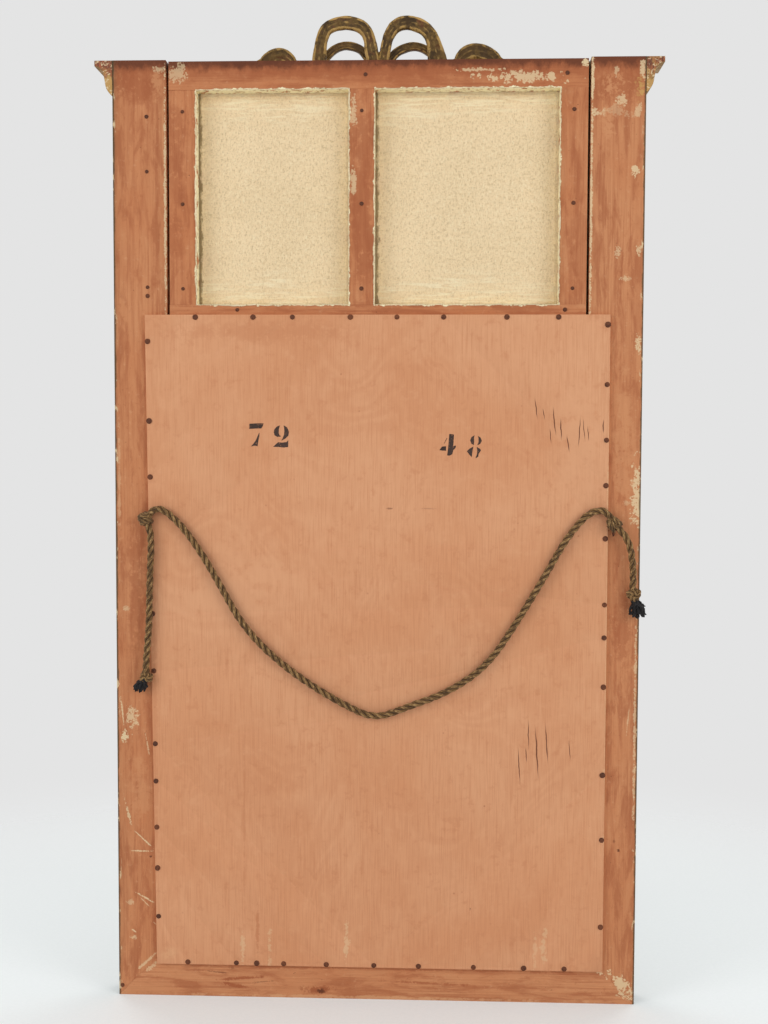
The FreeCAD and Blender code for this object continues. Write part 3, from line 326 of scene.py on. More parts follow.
def make_grime_group():
    """Uneven dirt: slow clouds, fine mottle and specks."""
    nodes, given, result = new_group(
        "Grime", [("Vector", "Vector", None), ("Scale", "Float", 9.0), ("Speck", "Float", 0.7)],
        [("Cloud", "Float"), ("Mottle", "Float"), ("Specks", "Float")])
    cloud = nodes.cloud(given["Vector"], given["Scale"], 4.0, 0.55, 0.4)
    mottle = nodes.cloud(given["Vector"], nodes.calc("MULTIPLY", given["Scale"], 14.0), 6.0, 0.65)
    cells = nodes.add("ShaderNodeTexVoronoi", {"Vector": given["Vector"],
                                               "Scale": nodes.calc("MULTIPLY", given["Scale"], 16.0),
                                               "Randomness": 1.0}).outputs["Distance"]
    chance = nodes.cloud(given["Vector"], nodes.calc("MULTIPLY", given["Scale"], 5.0), 1.0)
    dots = nodes.calc("MULTIPLY", nodes.step(cells, 0.14, 0.06), nodes.step(chance, given["Speck"], 0.75))
    nodes.tree.links.new(nodes.step(cloud, 0.3, 0.7), result["Cloud"])
    nodes.tree.links.new(mottle, result["Mottle"])
    nodes.tree.links.new(dots, result["Specks"])


def new_material(name, roughness=0.7, metallic=0.0):
    """A material as (material, nodes, its Principled shader, object coordinates)."""
    material = bpy.data.materials.new(name)
    material.use_nodes = True
    nodes = Nodes(material.node_tree)
    shader = material.node_tree.nodes["Principled BSDF"]
    shader.inputs["Roughness"].default_value = roughness
    shader.inputs["Metallic"].default_value = metallic
    coordinates = nodes.add("ShaderNodeTexCoord").outputs["Object"]
    return material, nodes, shader, coordinates


def finish_material(nodes, shader, colour, height=None, depth=0.0002, strength=0.6, roughness=None):
    nodes.tree.links.new(colour, shader.inputs["Base Color"])
    if roughness is not None:
        nodes.tree.links.new(roughness, shader.inputs["Roughness"])
    if height is not None:
        bump = nodes.add("ShaderNodeBump", {"Height": height, "Distance": depth, "Strength": strength})
        nodes.tree.links.new(bump.outputs[0], shader.inputs["Normal"])


def patch_mask(nodes, place, centre, reach, tilt=0.0, ragged=0.6, grit=120.0, softness=0.15, depth=60):
    """Mask of a ragged patch; centre and reach are (X, Z) in millimetres on the back."""
    values = {"Vector": place, "Centre": (centre[0] * MM, BACK, centre[1] * MM),
              "Reach": (reach[0] * MM, depth * MM, reach[1] * MM), "Tilt": math.radians(tilt),
              "Ragged": ragged, "Grit": grit, "Softness": softness}
    return nodes.group("Ragged patch", values).outputs["Mask"]


def rectangle_distance(nodes, place, left, right, foot, head):
    values = {"Vector": place, "Centre": ((left + right) / 2 * MM, 0, (foot + head) / 2 * MM),
              "Half size": ((right - left) / 2 * MM, 0, (head - foot) / 2 * MM)}
    return nodes.group("Rectangle distance", values).outputs["Distance"]


def window_distance(nodes, place):
    """How far a place lies outside the strainer's windows, in metres; negative inside one."""
    return nodes.calc("MINIMUM", *(rectangle_distance(nodes, place, *edges) for edges in window_edges()))


def lay_patches(nodes, place, colour, patches, palette):
    """Paint patches over a colour: (finish, strength, centre, reach, further patch_mask words)."""
    for finish, strength, centre, reach, words in patches:
        if finish != "gesso":
            words = {"softness": 0.7, **words}
        mask = patch_mask(nodes, place, centre, reach, **words)
        colour = nodes.mix(nodes.calc("MULTIPLY", mask, strength), colour, palette[finish])
    return colour


def wood_palette():
    wood = settings("wood")
    names = ("wash", "wash_pale", "wash_deep", "stain", "gesso", "raw", "board_pale", "board_deep", "paint")
    return {"ochre": tuple(settings("gilt").gold), **{name: tuple(getattr(wood, name)) for name in names}}


def timber_material(name, upright, patches=(), painted=True, tone=0.5, lapped=False):
    """Pine under a thin red wash behind, stained along the top, painted outside and in front.

    lapped timber has cream paint from the back of the canvas lapping over its window edges; the palest of it is
    painted lighter than the canvas's pale cream, as painted light on the shaded inner walls of the windows.
    """
    material, nodes, shader, place = new_material(name, 0.72)
    shader.inputs["Specular IOR Level"].default_value = 0.3
    palette = wood_palette()
    stretch = (430, 430, 11) if upright else (11, 430, 430)
    grain = nodes.group("Grain", {"Vector": place, "Stretch": stretch, "Rings": 4.0, "Sway": 0.5})
    grime = nodes.group("Grime", {"Vector": place, "Scale": 11.0, "Speck": 0.55})
    thin = nodes.calc("ADD", nodes.calc("MULTIPLY", grime.outputs["Cloud"], 0.55), tone - 0.25)
    colour = nodes.mix(thin, palette["wash"], palette["wash_pale"])
    streak = nodes.step(grain.outputs["Streaks"], 0.42, 0.7)
    colour = nodes.mix(nodes.calc("MULTIPLY", streak, nodes.calc("MULTIPLY_ADD", grime.outputs["Cloud"], 0.5, 0.1)), colour, palette["wash_deep"])
    lines = nodes.calc("MULTIPLY", nodes.step(grain.outputs["Figure"], 0.75, 1.0), 0.2)
    colour = nodes.mix(lines, colour, palette["wash_deep"])
    blotch = nodes.cloud(nodes.stretch(place, (75, 75, 16) if upright else (16, 75, 75)), 1.0, 6.0, 0.66, 0.4)
    colour = nodes.mix(nodes.calc("MULTIPLY", nodes.step(blotch, 0.47, 0.62), 0.55), colour, palette["wash_deep"])
    colour = nodes.mix(nodes.calc("MULTIPLY", nodes.step(blotch, 0.46, 0.3), 0.5), colour, palette["wash_pale"])
    fleck = nodes.calc("MULTIPLY", nodes.step(grime.outputs["Mottle"], 0.56, 0.74), 0.3)
    colour = nodes.mix(fleck, colour, palette["raw"])
    dusk = nodes.calc("MULTIPLY", nodes.step(grime.outputs["Mottle"], 0.44, 0.3), 0.35)
    colour = nodes.mix(dusk, colour, palette["wash_deep"])
    parts = nodes.add("ShaderNodeSeparateXYZ", {0: place}).outputs
    drips = nodes.cloud(nodes.stretch(place, (70, 70, 40)), 1.0, 6.0, 0.68)
    height_up = nodes.calc("MULTIPLY_ADD", drips, 0.03, parts[2])
    for finish, strength, low, high in (("wash_deep", 0.9, 1.044, 1.069), ("stain", 0.85, 1.0605, 1.0715)):
        mask = nodes.calc("MULTIPLY", nodes.step(height_up, low, high), strength)
        colour = nodes.mix(mask, colour, palette[finish])
    colour = lay_patches(nodes, place, colour, patches, palette)
    colour = nodes.mix(nodes.calc("MULTIPLY", grime.outputs["Specks"], 0.75), colour, palette["stain"])
    height = nodes.calc("ADD", grain.outputs["Streaks"], nodes.calc("MULTIPLY", grime.outputs["Mottle"], 0.5))
    if painted:
        facing = nodes.group("Facing", {})
        wear = nodes.step(nodes.cloud(nodes.stretch(place, (90, 90, 45)), 1.0, 6.0, 0.72), 0.56, 0.64)
        coat = nodes.mix(grime.outputs["Cloud"], palette["paint"], [part * 0.55 for part in palette["paint"]])
        coat = nodes.mix(nodes.calc("MULTIPLY", wear, 0.45), coat, [part * 0.5 for part in palette["wash_deep"]])
        coated = nodes.calc("MAXIMUM", facing.outputs["Side"], facing.outputs["Front"])
        across = nodes.calc("ABSOLUTE", parts[0])
        outside = nodes.calc("MAXIMUM", nodes.step(across, 0.28, 0.29), facing.outputs["Front"])
        ahead = nodes.step(parts[1], BACK - 0.010, BACK - 0.012)
        colour = nodes.mix(nodes.calc("MAXIMUM", ahead, nodes.calc("MULTIPLY", coated, outside)), colour, coat)
        rim = nodes.calc("MULTIPLY_ADD", nodes.cloud(nodes.stretch(place, (90, 90, 45)), 1.0, 6.0, 0.72),
                         0.0044, across)
        colour = nodes.mix(nodes.calc("MULTIPLY", nodes.step(rim, 0.2947, 0.2962), 0.85), colour,
                           [part * 0.5 for part in palette["paint"]])
        chips = nodes.cloud(nodes.stretch(place, (150, 150, 38)), 1.0, 6.0, 0.7)
        chipped = nodes.calc("MULTIPLY", nodes.step(chips, 0.585, 0.61), nodes.step(across, 0.2905, 0.293))
        chipped = nodes.calc("MULTIPLY", chipped, nodes.step(parts[1], BACK - 0.006, BACK - 0.003))
        colour = nodes.mix(nodes.calc("MULTIPLY", chipped, 0.85), colour, palette["gesso"])
    if lapped:
        canvas = settings("canvas")
        wander = nodes.cloud(place, 85.0, 6.0, 0.7)
        reach = nodes.calc("MULTIPLY_ADD", wander, -0.011, window_distance(nodes, place))
        lap = nodes.step(reach, -0.0044, -0.0050)
        aged = nodes.calc("MULTIPLY", nodes.step(grime.outputs["Mottle"], 0.5, 0.36), nodes.step(reach, -0.008, -0.0055))
        # The pale end is the canvas's pale cream raised by 1.12: painted light that lifts the shaded inner walls of
        # the windows.
        cream = nodes.mix(aged, [min(1, part * 1.12) for part in canvas.cream_pale], tuple(canvas.cream_deep))
        colour = nodes.mix(lap, colour, cream)
        height = nodes.calc("ADD", height, nodes.calc("MULTIPLY", lap, 1.2))
    finish_material(nodes, shader, colour, height, 0.00035, 0.55)
    return material


# ---------------------------------------------------------------- modelling helpers
def choose(*objects):
    """Select only these objects, in object mode, the last one active."""
    if bpy.context.object and bpy.context.object.mode != "OBJECT":
        bpy.ops.object.mode_set(mode="OBJECT")
    bpy.ops.object.select_all(action="DESELECT")
    for obj in objects:
        obj.select_set(True)
    if objects:
        bpy.context.view_layer.objects.active = objects[-1]


def new_object(name, mesh):
    obj = bpy.data.objects.new(name, mesh)
    bpy.context.scene.collection.objects.link(obj)
    return obj


def apply_modifier(obj, kind, **options):
    choose(obj)
    modifier = obj.modifiers.new(kind.title(), kind)
    for name, option in options.items():
        setattr(modifier, name, option)
    bpy.ops.object.modifier_apply(modifier=modifier.name)


def settle(obj):
    """Move the object's place into its mesh, so that the object sits at the origin."""
    choose(obj)
    bpy.ops.object.transform_apply(location=True, rotation=True, scale=True)
    return obj


def joined(objects, name):
    choose(*objects)
    bpy.ops.object.join()
    obj = bpy.context.object
    obj.name = name
    obj.data.name = name
    return settle(obj)


def hand_over(obj, material, slot, *nodes):
    """Give a finished piece its material and its body, and hide the nodes that it stands for; slot is not used."""
    obj.data.materials.clear()
    obj.data.materials.append(material)
    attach(obj, "root")
    if nodes:
        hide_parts(*nodes)


def dressed_copy(node, softening, name=None, segments=2):
    """A copy of a CAD node's mesh, merged, with its edges worn round."""
    obj = new_object(name or f"{node}_dressed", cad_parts[node].data.copy())
    choose(obj)
    bpy.ops.object.mode_set(mode="EDIT")
    bpy.ops.mesh.select_all(action="SELECT")
    bpy.ops.mesh.remove_doubles(threshold=1e-6)
    bpy.ops.mesh.dissolve_limited(angle_limit=math.radians(0.5))
    bpy.ops.object.mode_set(mode="OBJECT")
    if softening:
        apply_modifier(obj, "BEVEL", width=softening, segments=segments, limit_method="ANGLE",
                       angle_limit=math.radians(40), use_clamp_overlap=True)
    choose(obj)
    bpy.ops.object.shade_smooth_by_angle(angle=math.radians(50))
    return obj


def islands(node):
    """The boxes (lowest, highest corner) of the separate solids in a CAD node's mesh."""
    mesh = bmesh.new()
    mesh.from_mesh(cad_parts[node].data)
    bmesh.ops.remove_doubles(mesh, verts=mesh.verts, dist=1e-6)
    seen, boxes = set(), []
    for start in mesh.verts:
        if start in seen:
            continue
        part, queue = [], [start]
        seen.add(start)
        while queue:
            vertex = queue.pop()
            part.append(vertex.co.copy())
            for edge in vertex.link_edges:
                other = edge.other_vert(vertex)
                if other not in seen:
                    seen.add(other)
                    queue.append(other)
        boxes.append((Vector([min(point[axis] for point in part) for axis in range(3)]),
                      Vector([max(point[axis] for point in part) for axis in range(3)])))
    mesh.free()
    return boxes


class TubeMesh:
    """Gathers tubes along lines of points into one mesh, with a UV map round and along each tube."""

    def __init__(self):
        self.points, self.faces, self.marks, self.depths = [], [], [], []

    def add(self, line, radii, sides=8, closed=False, core=None, reach=1.0):
        """One tube; core is the line inside a bundle whose outer radius is reach."""
        frames = carried_frames(line, closed)
        first, travelled = len(self.points), 0.0
        for number, (centre, radius) in enumerate(zip(line, radii)):
            across, up = frames[number]
            for side in range(sides):
                angle = 2 * math.pi * side / sides
                point = centre + across * (radius * math.cos(angle)) + up * (radius * math.sin(angle))
                self.points.append(point)
                self.depths.append(min(1.0, (point - core[number]).length / reach) if core else 1.0)
        rings = len(line)
        for ring in range(rings if closed else rings - 1):
            onward = (line[(ring + 1) % rings] - line[ring]).length
            near, far = first + ring * sides, first + (ring + 1) % rings * sides
            for side in range(sides):
                after = (side + 1) % sides
                self.faces.append((near + side, near + after, far + after, far + side))
                low, high = side / sides, (side + 1) / sides
                self.marks.append(((low, travelled), (high, travelled), (high, travelled + onward),
                                   (low, travelled + onward)))
            travelled += onward
        if not closed:
            for ring, turned in ((0, True), (rings - 1, False)):
                corners = [first + ring * sides + side for side in range(sides)]
                self.faces.append(tuple(reversed(corners)) if turned else tuple(corners))
                self.marks.append(tuple((side / sides, travelled if ring else 0.0) for side in range(sides)))

    def build(self, name):
        mesh = bpy.data.meshes.new(name)
        mesh.from_pydata(self.points, [], self.faces)
        marks = mesh.uv_layers.new(name="Along")
        flat = [corner for face in self.marks for corner in face]
        for loop, corner in zip(marks.data, flat):
            loop.uv = corner
        depths = mesh.color_attributes.new(name="Depth", type="FLOAT_COLOR", domain="POINT")
        for mark, depth in zip(depths.data, self.depths):
            mark.color = (depth, depth, depth, 1)
        mesh.update()
        obj = new_object(name, mesh)
        choose(obj)
        bpy.ops.object.mode_set(mode="EDIT")
        bpy.ops.mesh.select_all(action="SELECT")
        bpy.ops.mesh.normals_make_consistent(inside=False)
        bpy.ops.object.mode_set(mode="OBJECT")
        bpy.ops.object.shade_smooth_by_angle(angle=math.radians(60))
        return obj


def carried_frames(line, closed=False):
    """Two directions square to a line at each of its points, carried along it without twist."""
    count = len(line)
    frames, across = [], None
    for number in range(count):
        ahead = line[(number + 1) % count] if closed or number + 1 < count else line[number]
        behind = line[number - 1] if closed or number > 0 else line[number]
        along = (ahead - behind).normalized()
        if across is None:
            across = along.orthogonal().normalized()
        across = (across - along * across.dot(along)).normalized()
        frames.append((across, along.cross(across)))
    return frames


# ---------------------------------------------------------------- the rope
# Route points (X, Z) in millimetres, at the rope's depth behind the frame.
EYE_RIGHT, EYE_LEFT = (259.3, 550.7), (-264.3, 548.2)
END_RIGHT, END_LEFT = (259.5, 371.4), (-285.8, 468.6)
SWAG_ROUTE = (
    (255.6, 554.8), (250.2, 560.9), (242.6, 562.6), (232.6, 556.9), (215.6, 540.3), (196, 513),
    (176, 478.5), (151.5, 434), (120, 399.5), (79, 368), (36, 342.5), (0.5, 326.5), (-34, 339.5),
    (-84, 358.5), (-126, 388.5), (-158, 437), (-187, 486), (-209.5, 527), (-226.5, 549.5),
    (-238.5, 560.3), (-249.5, 563.3), (-257.6, 559.8), (-261.6, 552.9),
)
TAIL_ROUTE_RIGHT = (
    (256.9, 545.8), (253.5, 539), (252.7, 520), (253.9, 493), (254.9, 462), (255.5, 430), (258.1, 402),
    (259.2, 388.5), (259.4, 376.3),
)
TAIL_ROUTE_LEFT = (
    (-268.1, 544.3), (-276, 536.6), (-282.4, 524), (-285.3, 507), (-286.5, 492), (-286.2, 482),
    (-286, 474.3),
)
STRETCHES = (
    ("rope_swag", SWAG_ROUTE, 0.731, "object", "hanging"),
    ("rope_tail_right", TAIL_ROUTE_RIGHT, 0.170, "knot", "hanging"),
    ("rope_tail_left", TAIL_ROUTE_LEFT, 0.074, "knot", "hanging"),
)


def spline_points(name, route):
    """Points along the smooth NURBS curve whose control points are the route's."""
    curve = bpy.data.curves.new(name + "_line", "CURVE")
    curve.dimensions = "3D"
    spline = curve.splines.new("NURBS")
    spline.points.add(len(route) - 1)
    for point, (across, up) in zip(spline.points, route):
        point.co = (across * MM, ROPE_DEPTH, up * MM, 1)
    spline.order_u = 3
    spline.use_endpoint_u = True
    spline.resolution_u = 24
    holder = new_object(name + "_line", curve)
    line = bpy.data.meshes.new_from_object(holder)
    points = [vertex.co.copy() for vertex in line.vertices]
    bpy.data.objects.remove(holder)
    bpy.data.curves.remove(curve)
    bpy.data.meshes.remove(line)
    return points


def even_points(points, pitch):
    """The same line with its points a pitch apart."""
    total = sum((after - before).length for before, after in zip(points, points[1:]))
    count = max(8, round(total / pitch))
    wanted = [total * number / count for number in range(count + 1)]
    even, travelled, index = [], 0.0, 0
    for target in wanted:
        while index < len(points) - 2 and travelled + (points[index + 1] - points[index]).length < target:
            travelled += (points[index + 1] - points[index]).length
            index += 1
        length = (points[index + 1] - points[index]).length
        share = min(1.0, (target - travelled) / length) if length else 0.0
        even.append(points[index].lerp(points[index + 1], share))
    return even


def lay_strands(tubes, line, width, lay, strands, closed=False, start=0.0):
    """Right-hand laid strands round a line."""
    strand = width / 2 / (1 + 1 / math.sin(math.pi / strands)) * 1.04
    orbit = width / 2 - strand
    frames = carried_frames(line, closed)
    for number in range(strands):
        travelled, centres = 0.0, []
        for index, point in enumerate(line):
            if index:
                travelled += (point - line[index - 1]).length
            angle = start + 2 * math.pi * (number / strands + travelled / lay)
            across, up = frames[index]
            centres.append(point + across * (orbit * math.cos(angle)) + up * (orbit * math.sin(angle)))
        swell = [strand * (1 + 0.05 * noise.noise(point * 160 + Vector((number, 0, 0)))) for point in centres]
        tubes.add(centres, swell, 10, closed=closed, core=line, reach=width / 2)


def rope_material(name, tarred=False):
    """Twisted fibre: yarn ridges across each strand with painted shade between the yarns and between the strands,
    pale outside where it is rubbed and where a painted highlight lies.
    """
    rope = settings("rope")
    material, nodes, shader, place = new_material(name, 0.85)
    shader.inputs["Sheen Weight"].default_value = 0.0 if tarred else 0.08
    marks = nodes.add("ShaderNodeUVMap", uv_map="Along").outputs[0]
    parts = nodes.add("ShaderNodeSeparateXYZ", {0: marks}).outputs
    turns = nodes.calc("ADD", nodes.calc("MULTIPLY", parts[0], 5.0), nodes.calc("MULTIPLY", parts[1], -230.0))
    ridge = nodes.calc("ABSOLUTE", nodes.calc("SINE", nodes.calc("MULTIPLY", turns, math.pi)))
    hairs = nodes.cloud(nodes.stretch(marks, (14, 260, 1)), 1.0, 4.0, 0.7)
    grime = nodes.group("Grime", {"Vector": place, "Scale": 30.0, "Speck": 0.6})
    base = tuple(rope.tar if tarred else rope.fibre)
    deep = tuple(part * 0.4 for part in rope.tar) if tarred else tuple(rope.fibre_deep)
    pale = tuple(part * 2.2 for part in rope.tar) if tarred else tuple(rope.fibre_pale)
    # Dark between the yarn ridges: painted shade in the grooves.
    colour = nodes.mix(nodes.step(ridge, 0.0, 0.55), deep, base)
    worn = nodes.calc("MULTIPLY", nodes.step(hairs, 0.5, 0.75), 0.55)
    colour = nodes.mix(worn, colour, pale)
    patchy = nodes.cloud(place, 120.0, 4.0, 0.7)
    colour = nodes.mix(nodes.calc("MULTIPLY", nodes.step(patchy, 0.42, 0.66), 0.6), colour, deep)
    level = nodes.add("ShaderNodeAttribute", attribute_name="Depth").outputs["Fac"]
    # Pale on the outermost fibre: rubbed wear and a painted highlight on the strands' crests.
    rubbed = nodes.calc("MULTIPLY", nodes.step(level, 0.88, 1.0), nodes.step(hairs, 0.44, 0.58, 0.0, 0.9))
    colour = nodes.mix(nodes.calc("MULTIPLY", rubbed, nodes.step(patchy, 0.6, 0.46, 0.1, 1.0)), colour, pale)
    # Dark where the strands meet near the rope's core: painted shade between the strands.
    colour = nodes.mix(nodes.calc("MULTIPLY", nodes.step(level, 0.8, 0.52), 0.9), colour, deep)
    height = nodes.calc("ADD", ridge, nodes.calc("MULTIPLY", hairs, 0.6))
    finish_material(nodes, shader, colour, height, 0.0005, 0.8)
    return material


class MIRROR_OT_rope(bpy.types.Operator):
    """Lay the three stretches of the hanging rope, of three strands each"""
    bl_idname = "mirror.rope"
    bl_label = "Rope"

    def execute(self, context):
        rope = settings("rope")
        fibre = rope_material("rope_fibre")
        for name, route, length, far_end, lay in STRETCHES:
            line = even_points(spline_points(name, route), 0.0014)
            tubes = TubeMesh()
            lay_strands(tubes, line, rope.width, rope.lay, rope.strands)
            stretch = tubes.build(f"{name}_strands")
            hand_over(stretch, fibre, "rope", name)
        return {"FINISHED"}


# ---------------------------------------------------------------- camera, floor and light
class MIRROR_OT_stage(bpy.types.Operator):
    """Set up the camera, the pale floor and background, and the soft lamps"""
    bl_idname = "mirror.stage"
    bl_label = "Stage"

    def execute(self, context):
        stage = settings("stage")
        scene = context.scene
        camera = bpy.data.objects.new("camera", bpy.data.cameras.new("camera"))
        scene.collection.objects.link(camera)
        camera.location = stage.camera_place
        camera.rotation_euler = stage.camera_turn
        camera.data.lens = stage.lens
        scene.camera = camera
        scene.view_settings.view_transform = "Standard"
        self.light_world(scene, stage)
        self.lay_floor(stage)
        for name, place, share in (("left", (1.9, 1.5, 1.25), 1.0), ("right", (-1.9, 1.5, 1.25), 1.0),
                                   ("front_left", (-1.6, -1.8, 1.4), 0.8), ("front_right", (1.6, -1.8, 1.4), 0.8)):
            self.hang_lamp(name, place, stage, share)
        return {"FINISHED"}

    def light_world(self, scene, stage):
        """Even light from all round; camera, mirror and glass see the wall's colour instead."""
        world = bpy.data.worlds.new("studio")
        world.use_nodes = True
        scene.world = world
        nodes = Nodes(world.node_tree)
        world.node_tree.nodes.clear()
        rays = nodes.add("ShaderNodeLightPath").outputs
        seen = nodes.calc("MAXIMUM", rays["Is Camera Ray"],
                          nodes.calc("MAXIMUM", rays["Is Glossy Ray"], rays["Is Transmission Ray"]))
        light = nodes.add("ShaderNodeBackground", {"Color": (1, 1, 1, 1), "Strength": stage.sky_light})
        wall = nodes.add("ShaderNodeBackground", {"Color": (*stage.wall, 1), "Strength": 1.0})
        mixed = nodes.add("ShaderNodeMixShader", {0: seen, 1: light.outputs[0], 2: wall.outputs[0]})
        nodes.add("ShaderNodeOutputWorld", {"Surface": mixed.outputs[0]})

    def lay_floor(self, stage):
        """A pale floor that fades out into the background round the mirror."""
        choose()
        bpy.ops.mesh.primitive_plane_add(size=5)
        floor = bpy.context.object
        floor.name = "floor"
        material, nodes, shader, place = new_material("floor_cloth", 0.9)
        fine = nodes.cloud(place, 260.0, 3.0, 0.6)
        colour = nodes.mix(nodes.step(fine, 0.3, 0.7), [part * 0.97 for part in stage.floor], stage.floor)
        finish_material(nodes, shader, colour, fine, 0.0003, 0.3)
        away = nodes.vector("LENGTH", nodes.vector("MULTIPLY", place, (0.8, 1, 1)))
        kept = nodes.step(away, 1.1, 0.35)
        nodes.tree.links.new(kept, shader.inputs["Alpha"])
        shader.inputs["Emission Color"].default_value = (0.72, 0.94, 1.0, 1)
        seen = nodes.add("ShaderNodeLightPath").outputs["Is Camera Ray"]
        nodes.tree.links.new(nodes.calc("MULTIPLY", seen, 0.2), shader.inputs["Emission Strength"])
        floor.data.materials.append(material)

    def hang_lamp(self, name, place, stage, share):
        lamp = bpy.data.lights.new(f"lamp_{name}", "AREA")
        lamp.shape = "SQUARE"
        lamp.size = stage.lamp_size
        lamp.energy = stage.lamp_power * share
        obj = bpy.data.objects.new(f"lamp_{name}", lamp)
        bpy.context.scene.collection.objects.link(obj)
        obj.location = place
        obj.rotation_euler = (Vector((0, 0, 0.55)) - Vector(place)).to_track_quat("-Z", "Y").to_euler()
        obj.visible_glossy = False


# ---------------------------------------------------------------- frame timber
LEFT_PATCHES = (
    ("wash_deep", 0.6, (-262, 1028), (40, 22), {"ragged": 1.0, "grit": 60}),
    ("ochre", 0.7, (-289, 1022), (6, 17), {"ragged": 1.8, "grit": 110}),
    ("gesso", 0.6, (-268, 1012), (7, 7), {"ragged": 2.2, "grit": 110}),
    ("gesso", 0.7, (-244, 1000), (8, 4.5), {"tilt": -20, "ragged": 2.0, "grit": 110}),
    ("gesso", 0.5, (-286, 1002), (4, 9), {"ragged": 2.0, "grit": 130}),
    ("gesso", 0.5, (-262, 1043), (2.5, 6), {"ragged": 2.0, "grit": 130}),
    ("wash_pale", 0.8, (-258, 1030), (14, 12), {"ragged": 2.0, "grit": 80}),
    ("gesso", 0.7, (-291, 1046), (4, 9), {"ragged": 1.6, "grit": 140}),
    ("wash_pale", 0.8, (-252, 985), (9, 30), {"ragged": 1.6, "grit": 60}),
    ("gesso", 0.25, (-262, 1000), (18, 6), {"ragged": 2.4, "grit": 90}),
    ("gesso", 0.8, (-236.4, 1040), (2.2, 30), {"ragged": 1.2, "grit": 160}),
    ("gesso", 0.75, (-236.2, 900), (1.5, 150), {"ragged": 1.5, "grit": 150}),
    ("gesso", 0.75, (-284, 937), (5, 6), {"ragged": 1.8, "grit": 150}),
    ("gesso", 0.5, (-266, 848), (6, 5), {"ragged": 1.8, "grit": 180}),
    ("gesso", 0.6, (-289, 850), (4, 6), {"ragged": 1.6, "grit": 180}),
    ("gesso", 0.5, (-274.5, 819), (6, 3.5), {"ragged": 1.6, "grit": 200}),
    ("gesso", 0.7, (-290, 748), (3.5, 11), {"ragged": 1.4, "grit": 160}),
    ("gesso", 0.75, (-290, 583), (6, 36), {"ragged": 1.9, "grit": 100}),
    ("gesso", 0.35, (-279, 571), (6, 3), {"ragged": 1.6, "grit": 200}),
    ("wash_pale", 0.6, (-276, 640), (13, 90), {"ragged": 1.6, "grit": 60}),
    ("gesso", 0.8, (-281, 22), (14, 9), {"tilt": 40, "ragged": 1.9, "grit": 120}),
    ("gesso", 0.5, (-291.5, 330), (1.5, 120), {"ragged": 1.8, "grit": 120}),
    ("gesso", 0.45, (-284, 326), (0.8, 16), {"tilt": 5, "ragged": 0.8, "grit": 160}),
    ("wash_deep", 0.5, (-276, 420), (14, 60), {"ragged": 1.2, "grit": 50}),
    ("stain", 0.9, (-275.1, 177.5), (2.2, 1.6), {"ragged": 0.4, "grit": 200, "softness": 0.2}),
    ("stain", 0.45, (-270, 188), (2, 3), {"ragged": 1.2, "grit": 200}),
)
RIGHT_PATCHES = (
    ("wash_deep", 0.7, (270, 1030), (42, 22), {"ragged": 1.0, "grit": 55}),
    ("wash_pale", 0.7, (244, 1034), (8, 20), {"ragged": 1.3, "grit": 90}),
    ("gesso", 0.5, (243, 1050), (6, 4), {"ragged": 1.6, "grit": 140}),
    ("gesso", 0.75, (236.4, 900), (1.5, 150), {"ragged": 1.5, "grit": 150}),
    ("gesso", 0.65, (278, 324), (6, 13), {"tilt": -6, "ragged": 2.3, "grit": 150}),
    ("gesso", 0.95, (286.5, 301.7), (4.4, 8), {"ragged": 0.9, "grit": 90}),
    ("gesso", 0.8, (289, 330), (20, 0.9), {"tilt": 84, "ragged": 0.9, "grit": 160}),
    ("gesso", 0.55, (260, 290), (13, 0.9), {"tilt": 80, "ragged": 1.2, "grit": 160}),
    ("gesso", 0.7, (283, 212), (17, 1.6), {"tilt": 76, "ragged": 1.6, "grit": 160}),
    ("gesso", 0.8, (265.5, 182), (15, 0.9), {"tilt": 43, "ragged": 0.9, "grit": 160}),
    ("gesso", 0.8, (268.5, 168.4), (14, 1.0), {"tilt": 0, "ragged": 0.9, "grit": 160}),
    ("gesso", 0.8, (263.5, 113.7), (14.5, 1.1), {"tilt": 29, "ragged": 0.9, "grit": 160}),
    ("gesso", 0.45, (282, 108.5), (4, 3.5), {"tilt": 0, "ragged": 1.8, "grit": 160}),
    ("gesso", 0.75, (277.5, 75), (3.6, 0.9), {"tilt": 35, "ragged": 0.9, "grit": 160}),
    ("gesso", 0.5, (253, 84), (3.6, 0.7), {"tilt": 35, "ragged": 0.9, "grit": 160}),
    ("gesso", 0.6, (263, 39), (17, 1.5), {"tilt": -42, "ragged": 1.9, "grit": 160}),
    ("wash_pale", 0.6, (270, 240), (16, 40), {"ragged": 1.6, "grit": 50}),
    ("gesso", 0.65, (264.7, 109), (8, 0.8), {"tilt": 45, "ragged": 0.8, "grit": 160}),
    ("gesso", 0.55, (278, 67), (4, 3), {"ragged": 1.5, "grit": 160}),
    ("gesso", 0.45, (284, 448), (4, 3), {"ragged": 1.6, "grit": 160}),
    ("wash_deep", 0.5, (272, 470), (14, 90), {"ragged": 1.2, "grit": 40}),
    ("raw", 0.5, (290.5, 600), (2, 90), {"ragged": 1.4, "grit": 70}),
    ("stain", 0.9, (257.5, 162.1), (1.6, 1.6), {"ragged": 0.3, "grit": 200, "softness": 0.2}),
)
